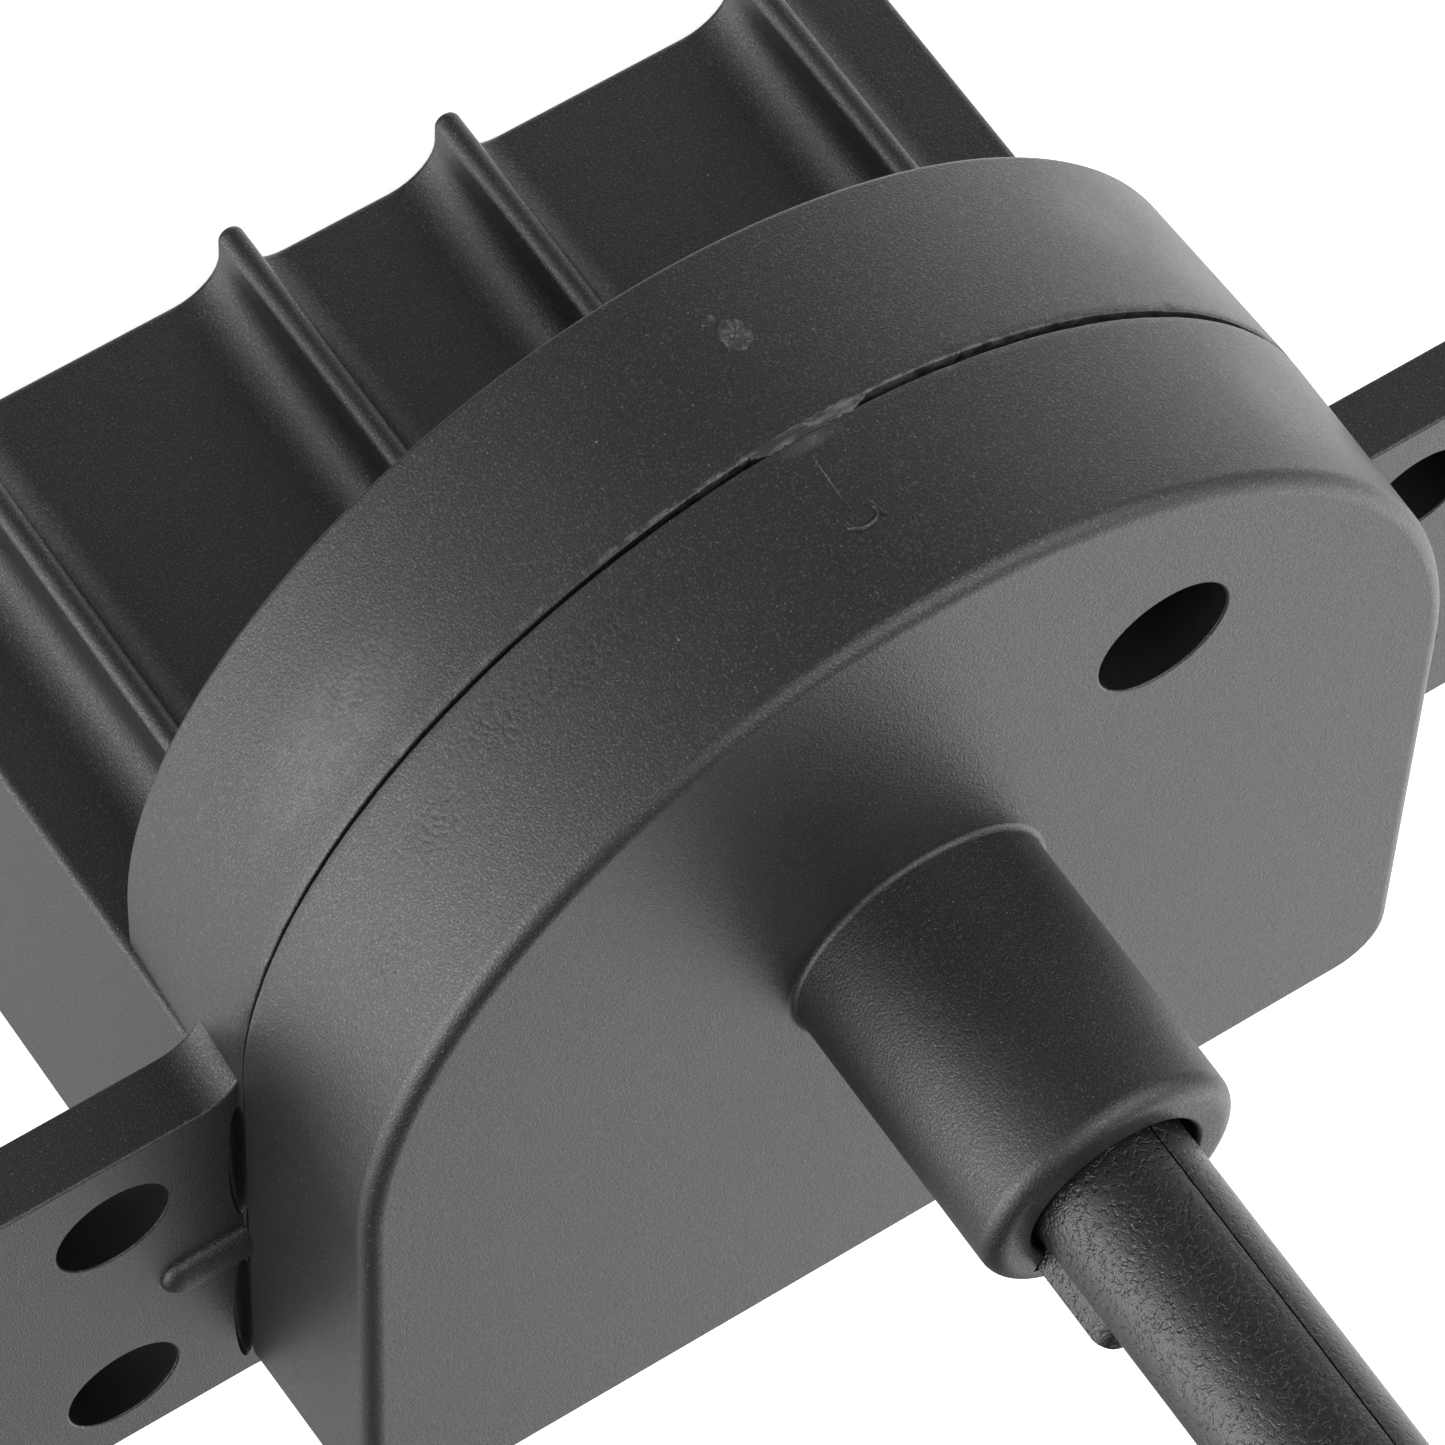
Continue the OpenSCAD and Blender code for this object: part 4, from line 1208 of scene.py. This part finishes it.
def build_arms():
    end, c = CUP_ORBIT - CUP_R + 0.2, ARM_CHAMFER
    profile = [(0, ARM_ROOT), (ARM_R - c, ARM_ROOT), (ARM_R, ARM_ROOT + c), (ARM_R, end - c),
               (ARM_R - c, end), (0, end)]
    for i, degrees in enumerate(ARM_TURNS, 1):
        arm = lathe("rod_%d" % i, profile, 64)
        turn(move(arm, Matrix.Translation((0, 0, ARM_Z)) @ TO_X), degrees)
        finish_piece(arm, "rotor", "arm_%d" % i)
        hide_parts("arm_%d" % i)


def build_cups():
    s = settings().rotor
    wall, rim = s.cup_wall / MM, s.rim_height / MM
    inner, lip = CUP_R - wall, CUP_LIP
    start = math.degrees(math.asin((rim + 0.3) / CUP_R))
    shell = arc((0, 0), inner, 90, 0, 40)[:-1] + [(inner, 0.15), (inner + 0.15, 0)]
    shell += arc((CUP_RIM_R - lip, lip), lip, -90, 0, 4)
    shell += arc((CUP_RIM_R - lip, rim - lip), lip, 0, 90, 4)
    shell += arc((0, 0), CUP_R, start, 90, 40)
    tube = [(0, 0), (SOCKET_R - SOCKET_EDGE, 0)]
    tube += arc((SOCKET_R - SOCKET_EDGE, SOCKET_EDGE), SOCKET_EDGE, -90, 0, 4)[1:]
    tube += [(SOCKET_R, SOCKET_LEN), (0, SOCKET_LEN)]
    at_socket = Matrix.Translation((-CUP_R - SOCKET_LEN + 1, MOUTH_OFFSET, 0)) @ TO_X
    for i, degrees in enumerate(ARM_TURNS, 1):
        cup = lathe("cup_shell_%d" % i, shell, 128)
        move(cup, Matrix.Rotation(math.radians(-90), 4, "X"))
        join(cup, move(lathe("socket", tube, 64), at_socket))
        core = lathe("core", arc((0, 0), inner, -90, 90, 36), 96)
        bore = rod("bore", (0, 0), -PAST, SOCKET_LEN + 0.25, ARM_SEAT, 64)
        cut(cup, move(core, Matrix.Scale(0.999, 4)), move(bore, at_socket))
        turn(move(cup, Matrix.Translation((CUP_ORBIT, -MOUTH_OFFSET, ARM_Z))), degrees)
        weld(cup.data)
        finish_piece(cup, "rotor", "cup_%d" % i)
        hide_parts("cup_%d" % i)


# ---------------------------------------------------------------- stage

CAMERA_PLACE = (0.13079, -0.38421, 0.17634)
CAMERA_TURN = (-60.3539, -33.5907, -178.0796)
LENS = 222.393
FLOOR_RADII = (0, 0.05, 0.12, 0.3, 0.8, 2, 5, 12)
# Soft lights all round: (direction they come from, strength)
SOFT_LIGHTS = (((1, 0, 0), 6.9), ((1, 1, -1), 1.3), ((-1, -1, 1), 3.0), ((-1, 0, -1), 1.8),
               ((-1, 1, -1), 0.8), ((-1, 1, 0), 1.1), ((-1, 1, 1), 2.3), ((0, -1, 1), 2.2),
               ((-1, -1, -1), 0.4), ((1, -1, -1), 1.2))
LIGHT_FOCUS = 7
DIM = 0.02


def build_camera(scene):
    data = bpy.data.cameras.new("camera")
    data.sensor_width = 36
    data.lens = LENS
    data.clip_start = 0.01
    data.clip_end = 50
    camera = bpy.data.objects.new("camera", data)
    camera.location = CAMERA_PLACE
    camera.rotation_euler = [math.radians(a) for a in CAMERA_TURN]
    scene.collection.objects.link(camera)
    scene.camera = camera


def build_floor():
    """Wide pale disc under the foot."""
    floor_z = CAD_BOX[0][2] - 0.0005
    floor = lathe("floor", [(r, floor_z) for r in FLOOR_RADII], 64)
    material, s = new_finish("pale_floor")
    pale = s.blend(s.noise(0.05, 3, 0.5), (0.86, 0.86, 0.86, 1), (0.90, 0.90, 0.90, 1))
    s.surface({"Base Color": pale, "Roughness": 0.85, "Emission Color": (1, 1, 1, 1),
               "Emission Strength": 0.85})
    floor.data.materials.append(material)
    floor.visible_diffuse = False
    floor.visible_glossy = False


def build_light(scene):
    """White to the camera, soft lights to everything else."""
    world = bpy.data.worlds.new("soft_studio")
    scene.world = world
    world.use_nodes = True
    s = Shader(world.node_tree)
    direction = s.add("ShaderNodeTexCoord", output="Generated")
    glow = DIM
    for towards, strength in SOFT_LIGHTS:
        facing = s.vector("DOT_PRODUCT", direction, Vector(towards).normalized(), "Value")
        glow = facing.math("MAXIMUM", 0) ** LIGHT_FOCUS * strength + glow
    seen = s.add("ShaderNodeLightPath", output="Is Camera Ray")
    background = s.add("ShaderNodeBackground", None,
                       {"Color": (1, 1, 1, 1), "Strength": glow * (1 - seen) + seen})
    s.add("ShaderNodeOutputWorld", None, {"Surface": background})


# ---------------------------------------------------------------- operators and panel

class ANEMOMETER_OT_rear_housing(bpy.types.Operator):
    """Builds the rear half with its ears and ribbed foot"""
    bl_idname = "anemometer.rear_housing"
    bl_label = "Rear housing"

    def execute(self, context):
        build_rear_housing()
        return {"FINISHED"}


class ANEMOMETER_OT_front_housing(bpy.types.Operator):
    """Builds the front half with its boss and outlet, and the marks on its crown"""
    bl_idname = "anemometer.front_housing"
    bl_label = "Front housing"

    def execute(self, context):
        build_front_housing()
        build_parting_flash()
        build_witness_marks()
        return {"FINISHED"}


class ANEMOMETER_OT_mast(bpy.types.Operator):
    """Builds the mast's two shells and the ring at their top"""
    bl_idname = "anemometer.mast"
    bl_label = "Mast"

    def execute(self, context):
        build_mast()
        build_collar()
        return {"FINISHED"}


class ANEMOMETER_OT_hub(bpy.types.Operator):
    """Builds the hub's three moulded pieces"""
    bl_idname = "anemometer.hub"
    bl_label = "Hub"

    def execute(self, context):
        build_hub()
        return {"FINISHED"}


class ANEMOMETER_OT_arms(bpy.types.Operator):
    """Builds the three steel arms"""
    bl_idname = "anemometer.arms"
    bl_label = "Arms"

    def execute(self, context):
        build_arms()
        return {"FINISHED"}


class ANEMOMETER_OT_cups(bpy.types.Operator):
    """Builds the three cups"""
    bl_idname = "anemometer.cups"
    bl_label = "Cups"

    def execute(self, context):
        build_cups()
        return {"FINISHED"}


class ANEMOMETER_OT_inner_parts(bpy.types.Operator):
    """Gives the CAD pieces that stay, such as screws, bearings and the board, their finishes"""
    bl_idname = "anemometer.inner_parts"
    bl_label = "Inner parts"

    def execute(self, context):
        for name, node in frame["nodes"].items():
            node.data.materials.clear()
            node.data.materials.append(finish(SLOT_OF[name]))
        return {"FINISHED"}


class ANEMOMETER_OT_stage(bpy.types.Operator):
    """Builds the floor, the soft light and the camera"""
    bl_idname = "anemometer.stage"
    bl_label = "Stage"

    def execute(self, context):
        scene = context.scene
        scene.view_settings.view_transform = "Standard"
        build_camera(scene)
        build_floor()
        build_light(scene)
        return {"FINISHED"}


STEPS = (ANEMOMETER_OT_rear_housing, ANEMOMETER_OT_front_housing, ANEMOMETER_OT_mast,
         ANEMOMETER_OT_hub, ANEMOMETER_OT_arms, ANEMOMETER_OT_cups, ANEMOMETER_OT_inner_parts,
         ANEMOMETER_OT_stage)


class ANEMOMETER_PT_panel(bpy.types.Panel):
    """Lists the pieces and their sizes"""
    bl_idname = "ANEMOMETER_PT_panel"
    bl_label = "Anemometer"
    bl_space_type = "VIEW_3D"
    bl_region_type = "UI"
    bl_category = "Anemometer"

    def draw(self, context):
        values = context.scene.anemometer
        for group in (values.housing, values.rotor, values.finishes):
            box = self.layout.box()
            for name in group.__annotations__:
                box.prop(group, name)
        for step in STEPS:
            self.layout.operator(step.bl_idname)


CLASSES = (AnemometerHousingSizes, AnemometerRotorSizes, AnemometerFinishes,
           AnemometerSettings) + STEPS + (ANEMOMETER_PT_panel,)


def register():
    for item in CLASSES:
        bpy.utils.register_class(item)
    bpy.types.Scene.anemometer = PointerProperty(type=AnemometerSettings)


def unregister():
    del bpy.types.Scene.anemometer
    for item in reversed(CLASSES):
        bpy.utils.unregister_class(item)


def main():
    register()
    for step in STEPS:
        group, name = step.bl_idname.split(".")
        getattr(getattr(bpy.ops, group), name)()


if __name__ == "__main__":
    main()
